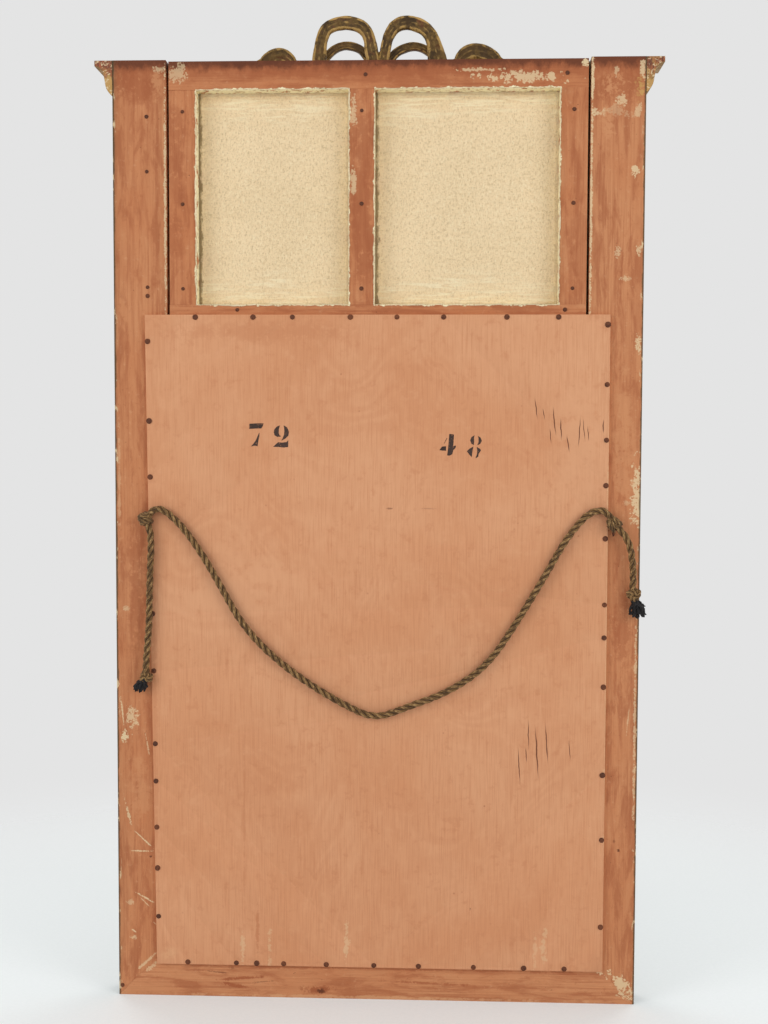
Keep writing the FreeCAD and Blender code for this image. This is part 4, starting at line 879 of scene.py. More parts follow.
BOTTOM_PATCHES = (
    ("wash_deep", 0.9, (62, 10), (24, 6), {"ragged": 1.2, "grit": 90}),
    ("stain", 0.9, (61, 8.5), (7, 4.5), {"ragged": 0.8, "grit": 120}),
    ("wash_deep", 0.9, (160, 13), (26, 3), {"tilt": 9, "ragged": 1.0, "grit": 120}),
    ("wash_deep", 0.9, (150, 22), (40, 2.4), {"tilt": -5, "ragged": 1.0, "grit": 120}),
    ("stain", 0.5, (186, 29), (24, 1.4), {"tilt": 6, "ragged": 1.0, "grit": 120}),
    ("stain", 0.4, (128, 18), (22, 1.2), {"tilt": -7, "ragged": 1.0, "grit": 120}),
    ("wash_deep", 0.7, (-60, 20), (60, 2.2), {"tilt": 2, "ragged": 1.2, "grit": 90}),
    ("stain", 0.3, (164, 33), (6, 4), {"ragged": 1.4, "grit": 120}),
    ("gesso", 0.8, (-262, 35), (8, 5), {"tilt": 35, "ragged": 1.8, "grit": 120}),
    ("gesso", 0.75, (-284, 14), (11, 6), {"tilt": 35, "ragged": 1.8, "grit": 120}),
    ("gesso", 0.5, (258, 33), (8, 3), {"tilt": -40, "ragged": 1.6, "grit": 120}),
    # A dark band along the whole rail, just below the backboard's lower edge: painted shadow of the board.
    ("wash_deep", 0.5, (0, 36), (250, 3), {"ragged": 1.2, "grit": 40}),
    ("raw", 0.45, (0, 2), (260, 2.5), {"ragged": 1.5, "grit": 60}),
    ("stain", 0.8, (-210.2, 37.7), (1.6, 1.6), {"ragged": 0.3, "grit": 200, "softness": 0.2}),
)


class MIRROR_OT_frame(bpy.types.Operator):
    """Wear the stiles and rails, washed red behind and painted outside"""
    bl_idname = "mirror.frame"
    bl_label = "Stiles and rails"

    def execute(self, context):
        softening = settings("wood").softening
        finishes = {
            "left_stile": timber_material("washed_left_stile", True, LEFT_PATCHES),
            "right_stile": timber_material("washed_right_stile", True, RIGHT_PATCHES, tone=0.42),
            "bottom_rail": timber_material("washed_bottom_rail", False, BOTTOM_PATCHES, tone=0.8),
        }
        finishes["mid_rail"] = finishes["top_rail"] = timber_material("washed_rail", False)
        for node, material in finishes.items():
            hand_over(dressed_copy(node, softening), material, "frame_wood", node)
        return {"FINISHED"}


# ---------------------------------------------------------------- strainer
TOP_BAR_PATCHES = (
    ("stain", 0.6, (95, 1056), (140, 9), {"ragged": 1.4, "grit": 30}),
    ("stain", 0.5, (-60, 1056), (110, 8), {"ragged": 1.4, "grit": 30}),
    ("wash_deep", 0.5, (0, 1046), (220, 10), {"ragged": 1.2, "grit": 40}),
    ("gesso", 0.7, (-165, 1039), (44, 6), {"ragged": 2.2, "grit": 90}),
    ("gesso", 0.6, (-110, 1047), (30, 2.4), {"ragged": 1.8, "grit": 90}),
    ("gesso", 0.5, (222, 1046), (11, 10), {"ragged": 1.8, "grit": 110}),
    ("gesso", 0.9, (-228, 1054), (5, 5), {"ragged": 1.0, "grit": 120}),
)
STRAINER_PATCHES = (
    ("wash_deep", 0.5, (225, 950), (16, 120), {"ragged": 1.6, "grit": 30}),
    ("wash_deep", 0.35, (-225, 860), (16, 90), {"ragged": 1.6, "grit": 30}),
    ("wash_deep", 0.6, (0, 792), (240, 8), {"ragged": 1.2, "grit": 30}),
)
MIDDLE_BAR_PATCHES = (
    ("wash_deep", 0.6, (16, 900), (18, 160), {"ragged": 1.2, "grit": 30}),
    ("gesso", 0.55, (27, 1002), (4, 16), {"ragged": 1.6, "grit": 110}),
    ("gesso", 0.6, (26, 925), (3.4, 20), {"ragged": 1.7, "grit": 110}),
)


def window_edges():
    """The strainer's windows as (left, right, foot, head) in millimetres."""
    foot, head = (round(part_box(node)[corner][2] / MM, 2) for node, corner in
                  (("strainer_bottom_bar", 1), ("strainer_top_bar", 0)))
    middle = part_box("strainer_middle_bar")
    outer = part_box("strainer_left_bar"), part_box("strainer_right_bar")
    return ((outer[0][1][0] / MM, middle[0][0] / MM, foot, head),
            (middle[1][0] / MM, outer[1][0][0] / MM, foot, head))


class MIRROR_OT_strainer(bpy.types.Operator):
    """Wear the strainer's bars, washed red like the frame"""
    bl_idname = "mirror.strainer"
    bl_label = "Strainer"

    def execute(self, context):
        softening = settings("wood").softening
        upright = timber_material("washed_strainer_side", True, STRAINER_PATCHES, False, 0.15, True)
        middle = timber_material("washed_strainer_middle", True, MIDDLE_BAR_PATCHES, False, 0.1, True)
        top = timber_material("washed_strainer_top", False, TOP_BAR_PATCHES, False, 0.1, True)
        foot = timber_material("washed_strainer_foot", False, STRAINER_PATCHES, False, 0.1, True)
        finishes = (("strainer_left_bar", upright), ("strainer_right_bar", upright),
                    ("strainer_middle_bar", middle), ("strainer_top_bar", top),
                    ("strainer_bottom_bar", foot))
        for node, material in finishes:
            hand_over(dressed_copy(node, softening), material, "strainer_wood", node)
        return {"FINISHED"}


# ---------------------------------------------------------------- backboard
BOARD_PATCHES = (
    ("stain", 0.5, (-16.6, 563.5), (7, 1.6), {"ragged": 1.2, "grit": 140}),
    ("stain", 0.25, (-60, 563.5), (12, 1.2), {"ragged": 1.2, "grit": 140}),
    ("board_deep", 0.8, (134, 80), (3, 42), {"ragged": 1.2, "grit": 60}),
    ("gesso", 0.35, (151, 52), (2.5, 22), {"ragged": 1.8, "grit": 90}),
    ("gesso", 0.3, (120, 58), (3, 24), {"ragged": 1.8, "grit": 90}),
    ("gesso", 0.4, (32, 68), (3, 24), {"ragged": 1.8, "grit": 90}),
    ("gesso", 0.3, (-192, 68), (4, 26), {"ragged": 1.7, "grit": 70}),
    ("gesso", 0.22, (-182, 60), (3, 20), {"ragged": 1.7, "grit": 70}),
    ("board_deep", 0.55, (149, 200), (1.8, 130), {"ragged": 0.9, "grit": 50}),
    ("raw", 0.35, (237, 49), (13, 10), {"ragged": 0.9, "grit": 60}),
    ("raw", 0.9, (-257.9, 590), (1.3, 30), {"ragged": 0.8, "grit": 120}),
    ("raw", 0.7, (-258.2, 420), (0.9, 380), {"ragged": 0.9, "grit": 60}),
    ("raw", 0.85, (-254.5, 640.5), (2.6, 3.6), {"ragged": 1.0, "grit": 200}),
    ("raw", 0.8, (-257.5, 270), (2.6, 3), {"ragged": 1.0, "grit": 200}),
    ("raw", 0.8, (-257, 193), (2.6, 3), {"ragged": 1.0, "grit": 200}),
    ("board_pale", 0.7, (-225, 640), (40, 110), {"ragged": 1.2, "grit": 16}),
    ("board_pale", 0.6, (150, 470), (90, 60), {"ragged": 1.2, "grit": 16}),
    ("board_deep", 0.5, (120, 760), (150, 16), {"ragged": 0.8, "grit": 30}),
    ("board_deep", 0.5, (252, 300), (6, 260), {"ragged": 0.8, "grit": 30}),
    ("stain", 0.7, (-108.5, 108.7), (1.0, 1.8), {"ragged": 0.4, "grit": 200, "softness": 0.2}),
)
# Drying checks in the veneer: both ends (X, Z) in millimetres, half width.
CHECKS = (
    ((-176, 688), (-179, 662), 0.5), ((-196, 679), (-200, 644), 0.6), ((-205, 666), (-206, 639), 0.6),
    ((-212, 647), (-215, 626), 0.5), ((-227, 668), (-225, 631), 0.5), ((-230, 666), (-232, 639), 0.4),
    ((-235, 657), (-236, 639), 0.4), ((-193, 655), (-195, 635), 0.4), ((-185, 677), (-187, 662), 0.4),
    ((-252, 664), (-252, 647), 0.6), ((-172, 328), (-173, 291), 0.45), ((-180, 321), (-184, 257), 0.7),
    ((-191, 324), (-195, 275), 0.6), ((-161, 296), (-164, 252), 0.5), ((-170, 296), (-171, 277), 0.45),
    ((-218, 306), (-220, 280), 0.4),
)


def check_mask(nodes, place):
    """All the drying checks, a little wavy."""
    sway = nodes.vector("SCALE", nodes.add("ShaderNodeTexNoise", {"Vector": place, "Scale": 90.0}).outputs["Color"])
    sway.node.inputs["Scale"].default_value = 0.0024
    wavy = nodes.vector("ADD", place, sway)
    whole = None
    for (near_x, near_z), (far_x, far_z), half in CHECKS:
        middle = ((near_x + far_x) / 2 * MM + 0.0012, BOARD_BACK, (near_z + far_z) / 2 * MM + 0.0012)
        tall = math.hypot(far_x - near_x, far_z - near_z) / 2
        values = {"Vector": wavy, "Centre": middle, "Reach": (half * 1.45 * MM, 0.05, tall * 1.1 * MM),
                  "Tilt": math.atan2(far_x - near_x, near_z - far_z)}
        mask = nodes.group("Drying check", values).outputs["Mask"]
        whole = mask if whole is None else nodes.calc("MAXIMUM", whole, mask)
    return whole


def board_material():
    """Thin plywood under the same wash: fine upright grain, slow swirls, drying checks, stains."""
    material, nodes, shader, place = new_material("washed_plywood", 0.68)
    shader.inputs["Specular IOR Level"].default_value = 0.3
    palette = wood_palette()
    palette["board"] = tuple(settings("wood").board)
    swirl = nodes.cloud(nodes.stretch(place, (6.5, 6.5, 3.6)), 1.0, 2.0, 0.5, 1.2)
    rings = nodes.calc("ABSOLUTE", nodes.calc("SINE", nodes.calc("MULTIPLY", swirl, 60.0)))
    shown = nodes.step(nodes.cloud(place, 5.0, 2.0), 0.42, 0.62)
    grain = nodes.group("Grain", {"Vector": place, "Stretch": (760, 760, 22), "Rings": 2.0, "Sway": 0.3})
    grime = nodes.group("Grime", {"Vector": place, "Scale": 6.0, "Speck": 0.62})
    colour = nodes.mix(grime.outputs["Cloud"], palette["board"], palette["board_pale"])
    figure = nodes.calc("MULTIPLY", nodes.step(rings, 0.2, 1.0), nodes.calc("MULTIPLY_ADD", shown, 0.16, 0.05))
    colour = nodes.mix(figure, colour, palette["board_deep"])
    fine = nodes.calc("MULTIPLY", nodes.step(grain.outputs["Streaks"], 0.42, 0.7), 0.55)
    colour = nodes.mix(fine, colour, palette["board_deep"])
    pale = nodes.calc("MULTIPLY", nodes.step(grime.outputs["Mottle"], 0.52, 0.72), 0.4)
    colour = nodes.mix(pale, colour, palette["board_pale"])
    dusk = nodes.calc("MULTIPLY", nodes.step(grime.outputs["Mottle"], 0.45, 0.3), 0.4)
    colour = nodes.mix(dusk, colour, palette["board_deep"])
    colour = lay_patches(nodes, place, colour, BOARD_PATCHES, palette)
    checks = check_mask(nodes, place)
    colour = nodes.mix(nodes.calc("MULTIPLY", checks, 0.95), colour, palette["stain"])
    colour = nodes.mix(nodes.calc("MULTIPLY", grime.outputs["Specks"], 0.5), colour, palette["wash_deep"])
    height = nodes.calc("ADD", grain.outputs["Streaks"], nodes.calc("MULTIPLY", rings, 0.1))
    height = nodes.calc("SUBTRACT", height, nodes.calc("MULTIPLY", checks, 2.0))
    finish_material(nodes, shader, colour, height, 0.0002, 0.45)
    return material


class MIRROR_OT_backboard(bpy.types.Operator):
    """Wear the plywood backboard"""
    bl_idname = "mirror.backboard"
    bl_label = "Backboard"

    def execute(self, context):
        board = dressed_copy("backboard", settings("wood").softening * 0.5)
        hand_over(board, board_material(), "plywood", "backboard")
        return {"FINISHED"}


# ---------------------------------------------------------------- stencilled numbers
# Each numeral's upper left corner as seen from behind (X, Z) in millimetres, and the outlines of its
# stencilled parts as (right, down) from there.
NUMERALS = (
    ((142.2, 658.2), (((0.2, 0.5), (8, 0.1), (16, 0), (15.2, 3), (13.6, 5.7), (6.5, 5.9), (0, 6.3)),
                      ((11.3, 10.2), (11.4, 14), (10.1, 19.6), (9.3, 25.6), (6, 25), (1.8, 25.9), (4.9, 22.4),
                       (7.4, 19), (9.3, 14.4)))),
    ((115.4, 656.0), (((7.6, 0), (4, 1.6), (1.4, 4.6), (0.7, 8), (1.7, 11), (4.6, 12.9), (8.3, 12.7),
                       (8.7, 11.9), (7, 11), (6.4, 8), (6.5, 4.2)),
                      ((11.8, 0), (15.6, 2.2), (17.8, 6.6), (17.2, 11.4), (14, 14.6), (9.4, 17.2), (11, 13.8),
                       (12.2, 10.6), (12.7, 6.6), (12.4, 2.6)),
                      ((0, 24), (2.6, 21.6), (5.6, 18.9), (10, 19.3), (15, 18.7), (17, 16.6), (16.9, 24.2),
                       (12, 24.8), (6, 24.2)))),
    ((-70.5, 647.1), (((11.2, 0.1), (16.3, 0.8), (16, 7.6), (15.5, 13.6), (18.8, 13), (18, 16), (15.7, 18),
                       (14.6, 22.6), (11.6, 24.3), (8.9, 24.1), (9.9, 16)),
                      ((8.4, 4.6), (8.8, 5), (5.8, 10.8), (5.2, 10.7)),
                      ((0.2, 18.2), (1.6, 16.2), (3.2, 14.2), (7.6, 13.8), (7.6, 18.8), (3.2, 18.6)))),
    ((-101.3, 645.5), (((8.4, 0), (5, 2), (3.6, 5.7), (5, 9.4), (7.6, 10.7), (8, 7.4), (7.8, 3.2)),
                       ((12.2, 0.7), (15.1, 2.4), (16.6, 6.1), (14.7, 9.5), (11.5, 10.9), (12.9, 7.4),
                        (12.9, 3.2)),
                       ((7.1, 12.6), (3.4, 14.5), (0, 17.6), (2.9, 21.7), (5.5, 24.2), (5.9, 20), (6.5, 15.8)),
                       ((10.9, 12.9), (14.7, 15), (15.7, 16.6), (13, 20.8), (12.6, 23.8), (9.7, 25.5),
                        (11.3, 20.8), (11.5, 16.6)))),
)


def ink_material():
    """Thin dark paint, worn through in specks."""
    wood = settings("wood")
    material, nodes, shader, place = new_material("stencil_paint", 0.7)
    shader.inputs["Specular IOR Level"].default_value = 0.3
    grime = nodes.group("Grime", {"Vector": place, "Scale": 40.0, "Speck": 0.5})
    colour = nodes.mix(grime.outputs["Cloud"], tuple(wood.ink), [part * 2.1 for part in wood.ink])
    worn = nodes.calc("MULTIPLY", nodes.step(grime.outputs["Mottle"], 0.58, 0.7), 0.7)
    colour = nodes.mix(worn, colour, tuple(wood.board_deep))
    finish_material(nodes, shader, colour, grime.outputs["Mottle"], 0.0001, 0.4)
    return material


class MIRROR_OT_numbers(bpy.types.Operator):
    """Stencil the two plain plate sizes on the backboard"""
    bl_idname = "mirror.numbers"
    bl_label = "Stencilled numbers"

    def execute(self, context):
        numerals = [self.stencil(corner, outlines) for corner, outlines in NUMERALS]
        numbers = joined(numerals, "stencilled_numbers")
        bpy.ops.object.mode_set(mode="EDIT")
        bpy.ops.mesh.select_all(action="SELECT")
        bpy.ops.mesh.remove_doubles(threshold=1e-6)
        bpy.ops.mesh.normals_make_consistent(inside=False)
        bpy.ops.object.mode_set(mode="OBJECT")
        hand_over(numbers, ink_material(), "plywood")
        return {"FINISHED"}

    def stencil(self, corner, outlines):
        """One numeral as a film of paint on the board, from flat closed outlines."""
        curve = bpy.data.curves.new("numeral", "CURVE")
        curve.dimensions = "2D"
        curve.fill_mode = "BOTH"
        curve.extrude = 0.00006
        for outline in outlines:
            spline = curve.splines.new("POLY")
            spline.points.add(len(outline) - 1)
            spline.use_cyclic_u = True
            for point, (right, down) in zip(spline.points, outline):
                point.co = (right * MM, -down * MM, 0, 1)
        numeral = new_object("numeral", curve)
        choose(numeral)
        bpy.ops.object.convert(target="MESH")
        numeral = bpy.context.object
        numeral.matrix_world = Matrix(((-1, 0, 0, corner[0] * MM), (0, 0, 1, BOARD_BACK + 0.00008),
                                       (0, 1, 0, corner[1] * MM), (0, 0, 0, 1)))
        return settle(numeral)


# ---------------------------------------------------------------- canvas
def canvas_material():
    """Cream ground brushed on behind, with dirt and painted shade along its edges where it meets the bars; a plain
    scumble with a line round it in front.
    """
    canvas = settings("canvas")
    cream, pale, deep, dirt = (tuple(getattr(canvas, name)) for name in
                               ("cream", "cream_pale", "cream_deep", "dirt"))
    material, nodes, shader, place = new_material("painted_canvas", 0.8)
    shader.inputs["Specular IOR Level"].default_value = 0.25
    outside = window_distance(nodes, place)
    grime = nodes.group("Grime", {"Vector": place, "Scale": 14.0, "Speck": 0.52})
    parts = nodes.add("ShaderNodeSeparateXYZ", {0: place}).outputs
    windows = window_edges()
    foot, head = windows[0][2] * MM, windows[0][3] * MM
    crosswise = nodes.cloud(nodes.stretch(place, (300, 300, 620)), 1.0, 4.0, 0.75)
    upright = nodes.cloud(nodes.stretch(place, (620, 620, 250)), 1.0, 4.0, 0.75)
    threads = nodes.step(nodes.calc("ADD", crosswise, upright), 1.0, 1.25)
    brushed = nodes.cloud(nodes.stretch(place, (22, 22, 240)), 1.0, 6.0, 0.72, 0.5)
    beyond = nodes.calc("ABSOLUTE", nodes.calc("SUBTRACT", parts[2], (foot + head) / 2))
    ends = nodes.step(nodes.calc("MULTIPLY_ADD", grime.outputs["Cloud"], 0.03, beyond),
                      (head - foot) / 2 - 0.022, (head - foot) / 2 + 0.004)
    colour = nodes.mix(nodes.calc("MULTIPLY", grime.outputs["Cloud"], 0.14), cream, deep)
    woven = nodes.calc("MULTIPLY", threads, nodes.calc("MULTIPLY_ADD", ends, -0.3, 0.5))
    colour = nodes.mix(woven, colour, deep)
    crackle = nodes.cloud(nodes.stretch(place, (520, 520, 300)), 1.0, 6.0, 0.78)
    colour = nodes.mix(nodes.calc("MULTIPLY", nodes.step(crackle, 0.47, 0.36), 0.24), colour, dirt)
    colour = nodes.mix(nodes.calc("MULTIPLY", nodes.step(crackle, 0.53, 0.64), 0.7), colour, pale)
    stroke = nodes.calc("MULTIPLY", nodes.step(brushed, 0.45, 0.6), nodes.calc("MULTIPLY_ADD", ends, 0.8, 0.1))
    colour = nodes.mix(stroke, colour, pale)
    sides = [nodes.calc("ABSOLUTE", nodes.calc("SUBTRACT", parts[0], window[1] * MM)) for window in windows]
    smear = nodes.calc("MULTIPLY_ADD", nodes.cloud(nodes.stretch(place, (190, 190, 90)), 1.0, 6.0, 0.75), -0.016,
                       nodes.calc("MINIMUM", *sides))
    colour = nodes.mix(nodes.calc("MULTIPLY", nodes.step(smear, -0.0038, -0.0064), 0.75), colour, dirt)
    # Darker along the windows' edges, where the canvas meets the bars: dirt and painted shade of the recess.
    rim = nodes.calc("MULTIPLY_ADD", nodes.cloud(place, 130.0, 6.0, 0.7), 0.006, outside)
    colour = nodes.mix(nodes.calc("MULTIPLY", nodes.step(rim, -0.0012, 0.0004), 0.2), colour, dirt)
    colour = nodes.mix(nodes.calc("MULTIPLY", grime.outputs["Specks"], 0.35), colour, dirt)
    facing = nodes.group("Facing", {"Edge": 0.3})
    front = scumbled_front(nodes, place, grime)
    colour = nodes.mix(facing.outputs["Front"], colour, front)
    height = nodes.calc("ADD", nodes.calc("MULTIPLY", threads, -0.8), nodes.calc("MULTIPLY", brushed, 0.5))
    height = nodes.calc("ADD", height, nodes.calc("MULTIPLY", grime.outputs["Mottle"], 0.8))
    finish_material(nodes, shader, colour, height, 0.0005, 0.6)
    return material


def scumbled_front(nodes, place, grime):
    """The front of the canvas: an uneven green-grey glaze inside a thin painted line."""
    canvas = settings("canvas")
    gold = tuple(settings("gilt").gold)
    soft = nodes.cloud(nodes.stretch(place, (5, 5, 9)), 1.0, 5.0, 0.6, 0.6)
    colour = nodes.mix(nodes.step(soft, 0.32, 0.68), tuple(canvas.scumble), tuple(canvas.scumble_pale))
    colour = nodes.mix(nodes.calc("MULTIPLY", nodes.step(grime.outputs["Mottle"], 0.5, 0.3), 0.4), colour,
                       [part * 0.5 for part in canvas.scumble])
    low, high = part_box("painting_moulding_left")[0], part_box("painting_moulding_right")[1]
    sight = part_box("painting_moulding_left")[1][0]
    foot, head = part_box("painting_moulding_foot")[1][2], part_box("painting_moulding_head")[0][2]
    inward = rectangle_distance(nodes, place, sight / MM, -sight / MM, foot / MM, head / MM)
    line = nodes.calc("ABSOLUTE", nodes.calc("ADD", inward, 0.016))
    return nodes.mix(nodes.calc("MULTIPLY", nodes.step(line, 0.0012, 0.0008), 0.8), colour, gold)


class MIRROR_OT_canvas(bpy.types.Operator):
    """Stretch the painted canvas over the strainer, and lay the paint ridges round its windows"""
    bl_idname = "mirror.canvas"
    bl_label = "Canvas"

    def execute(self, context):
        cloth_thick = settings("canvas").thickness
        low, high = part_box("painting_canvas")
        wide, tall = high[0] - low[0] - cloth_thick, high[2] - low[2] - cloth_thick
        middle = Vector(((low[0] + high[0]) / 2, low[1] + cloth_thick / 2, (low[2] + high[2]) / 2))
        turned = high[1] - low[1] - cloth_thick
        choose()
        bpy.ops.mesh.primitive_grid_add(x_subdivisions=124, y_subdivisions=78, size=1)
        cloth = bpy.context.object
        cloth.name = "painting_canvas_cloth"
        windows = window_edges()
        for vertex in cloth.data.vertices:
            place = middle + Vector((vertex.co.x * wide, 0, vertex.co.y * tall))
            within = min(1.0, max(0.0, self.depth_in_window(place, windows) / 0.03))
            slack = 0.0009 + 0.0006 * noise.noise(place * 22)
            place.y += within * slack
            vertex.co = place
        bpy.ops.object.mode_set(mode="EDIT")
        bpy.ops.mesh.select_all(action="DESELECT")
        bpy.ops.mesh.select_mode(type="EDGE")
        bpy.ops.mesh.select_non_manifold()
        for _ in range(2):
            bpy.ops.mesh.extrude_region_move(TRANSFORM_OT_translate={"value": (0, turned / 2, 0)})
        bpy.ops.mesh.select_mode(type="VERT")
        bpy.ops.mesh.select_all(action="SELECT")
        bpy.ops.mesh.normals_make_consistent(inside=False)
        bpy.ops.object.mode_set(mode="OBJECT")
        apply_modifier(cloth, "SOLIDIFY", thickness=cloth_thick, offset=0.0)
        choose(cloth)
        bpy.ops.object.shade_smooth_by_angle(angle=math.radians(50))
        ground = canvas_material()
        hand_over(cloth, ground, "canvas", "painting_canvas")
        self.lay_ridges()
        return {"FINISHED"}

    def depth_in_window(self, place, windows):
        return max(min(place.x - left * MM, right * MM - place.x, place.z - foot * MM, head * MM - place.z)
                   for left, right, foot, head in windows)

    def lay_ridges(self):
        """Ragged ridges of cream paint that lap over the bars round both windows."""
        tubes = TubeMesh()
        for number, (left, right, foot, head) in enumerate(window_edges()):
            corners = [(left, foot), (right, foot), (right, head), (left, head)]
            points = [Vector((x * MM, BACK + 0.0001, z * MM)) for x, z in corners]
            line = even_points(points + points[:1], 0.0017)[:-1]
            middle = Vector(((left + right) / 2 * MM, BACK, (foot + head) / 2 * MM))
            placed, radii = [], []
            for point in line:
                rough = noise.noise(point * 130 + Vector((number * 9, 0, 0)))
                coarse = noise.noise(point * 34 + Vector((number * 5, 3, 0)))
                away = (point - middle).normalized()
                placed.append(point + Vector((away.x, 0, away.z)) * (0.0004 + 0.0007 * rough + 0.0005 * coarse))
                radii.append(0.00035 + 0.0008 * max(0.0, coarse + 0.1) + 0.0003 * abs(rough))
            tubes.add(placed, radii, 7, closed=True)
        ridges = tubes.build("canvas_paint_ridges")
        material, nodes, shader, place = new_material("cream_ridges", 0.75)
        canvas = settings("canvas")
        grime = nodes.group("Grime", {"Vector": place, "Scale": 30.0, "Speck": 0.5})
        colour = nodes.mix(nodes.step(grime.outputs["Mottle"], 0.5, 0.36), tuple(canvas.cream_pale),
                           tuple(canvas.cream_deep))
        colour = nodes.mix(nodes.calc("MULTIPLY", grime.outputs["Cloud"], 0.3), colour, tuple(canvas.dirt))
        finish_material(nodes, shader, colour, grime.outputs["Mottle"], 0.0004, 0.6)
        hand_over(ridges, material, "canvas")


# ---------------------------------------------------------------- nails
def iron_material():
    iron = settings("iron")
    material, nodes, shader, place = new_material("rusty_iron", 0.72, 0.1)
    grime = nodes.group("Grime", {"Vector": place, "Scale": 60.0, "Speck": 0.5})
    colour = nodes.mix(grime.outputs["Cloud"], tuple(iron.iron), tuple(iron.rust))
    colour = nodes.mix(nodes.step(grime.outputs["Mottle"], 0.5, 0.7), colour,
                       [part * 0.35 for part in iron.iron])
    finish_material(nodes, shader, colour, grime.outputs["Mottle"], 0.0003, 0.7)
    return material


def domed_nail(name, head, rise, shank, length):
    """A nail along +Z, its head's underside at the origin: a low dome with a worn rim, a square shank."""
    choose()
    bpy.ops.mesh.primitive_cylinder_add(vertices=14, radius=head / 2, depth=rise * 0.35,
                                        location=(0, 0, rise * 0.175))
    nail = bpy.context.object
    nail.name = name
    bpy.ops.object.transform_apply(location=True)
    bpy.ops.object.mode_set(mode="EDIT")
    for inset, lift in ((head * 0.1, rise * 0.33), (head * 0.13, rise * 0.22), (head * 0.13, rise * 0.1)):
        select_faces(nail, lambda face: face.normal.z > 0.9 and face.calc_center_median().z > rise * 0.3)
        bpy.ops.mesh.inset(thickness=inset)
        bpy.ops.transform.translate(value=(0, 0, lift))
    bpy.ops.object.mode_set(mode="OBJECT")
    choose()
    bpy.ops.mesh.primitive_cylinder_add(vertices=4, radius=shank * 0.7, depth=length,
                                        location=(0, 0, -length / 2))
    pin = bpy.context.object
    bpy.ops.object.transform_apply(location=True)
    bpy.ops.object.mode_set(mode="EDIT")
    select_faces(pin, lambda face: face.normal.z < -0.9)
    bpy.ops.transform.resize(value=(0.35, 0.35, 1))
    bpy.ops.object.mode_set(mode="OBJECT")
    nail = joined([pin, nail], name)
    bpy.ops.object.shade_smooth_by_angle(angle=math.radians(40))
    return nail


def select_faces(obj, wanted):
    """In edit mode, select just the faces for which wanted is true."""
    mesh = bmesh.from_edit_mesh(obj.data)
    for face in mesh.faces:
        face.select_set(False)
    for face in mesh.faces:
        if wanted(face):
            face.select_set(True)
    mesh.select_flush_mode()
    bmesh.update_edit_mesh(obj.data)


def planted(pattern, boxes, name, seed, lean):
    """Copies of a nail at the heads of CAD nails, each turned, leant and sized a little by chance."""
    chance = random.Random(seed)
    copies = []
    for low, high in boxes:
        centre = (low + high) / 2
        spans = high - low
        axis = max(range(3), key=lambda number: spans[number])
        outward = Vector((0, 0, 0))
        outward[axis] = 1.0 if axis == 1 or centre[axis] > (0.9 if axis == 2 else 0.0) else -1.0
        face = high if outward[axis] > 0 else low
        head = centre.copy()
        head[axis] = face[axis] - outward[axis] * settings("iron").head * 0.17
        turn = outward.to_track_quat("Z", "Y").to_matrix()
        tilt = Matrix.Rotation(chance.uniform(-lean, lean), 3, "X") @ Matrix.Rotation(
            chance.uniform(-lean, lean), 3, "Y")
        spin = Matrix.Rotation(chance.uniform(0, 2 * math.pi), 3, "Z")
        grow = chance.uniform(0.88, 1.08)
        copy = new_object(f"{name}_copy", pattern.data.copy())
        copy.data.transform(Matrix.Translation(head) @ (turn @ tilt @ spin * grow).to_4x4())
        copies.append(copy)
    bpy.data.objects.remove(pattern)
    return joined(copies, name)


class MIRROR_OT_nails(bpy.types.Operator):
    """Plant the nails of backboard, strainer and frame, and the canvas tacks"""
    bl_idname = "mirror.nails"
    bl_label = "Nails and tacks"

    def execute(self, context):
        head = settings("iron").head
        iron = iron_material()
        kinds = (("backboard_nails", head, 0.0016, 0.013, 0.12), ("strainer_nails", head * 0.72, 0.0012, 0.013, 0.2),
                 ("frame_nails", head * 0.72, 0.0012, 0.013, 0.2), ("canvas_tacks", head * 0.66, 0.0009, 0.005, 0.05))
        for seed, (node, wide, rise, length, lean) in enumerate(kinds, start=11):
            pattern = domed_nail("nail_pattern", wide, rise, 0.0014, length)
            nails = planted(pattern, islands(node), f"{node}_domed", seed, lean)
            hand_over(nails, iron, "old_iron", node)
        return {"FINISHED"}


# ---------------------------------------------------------------- rope knots, frayed ends, screw eyes
# Middle (X, Z), half size, tilt about the depth axis and seed of each knot.
KNOTS = (("eye_knot_right", EYE_RIGHT, 8.4, 25, 1), ("eye_knot_left", EYE_LEFT, 8.4, -50, 2),
         ("end_knot_right", END_RIGHT, 8.2, 80, 3), ("end_knot_left", (-287.4, 469), 8.6, 10, 4))
# End knot (X, Z), middle of the frayed lump (X, Z), its half width and half height, and a seed.
TUFTS = (("rope_tuft_right", END_RIGHT, (266.6, 359.6), (7.6, 7.2), 5),
         ("rope_tuft_left", END_LEFT, (-292.6, 450.4), (11.5, 9.5), 6))


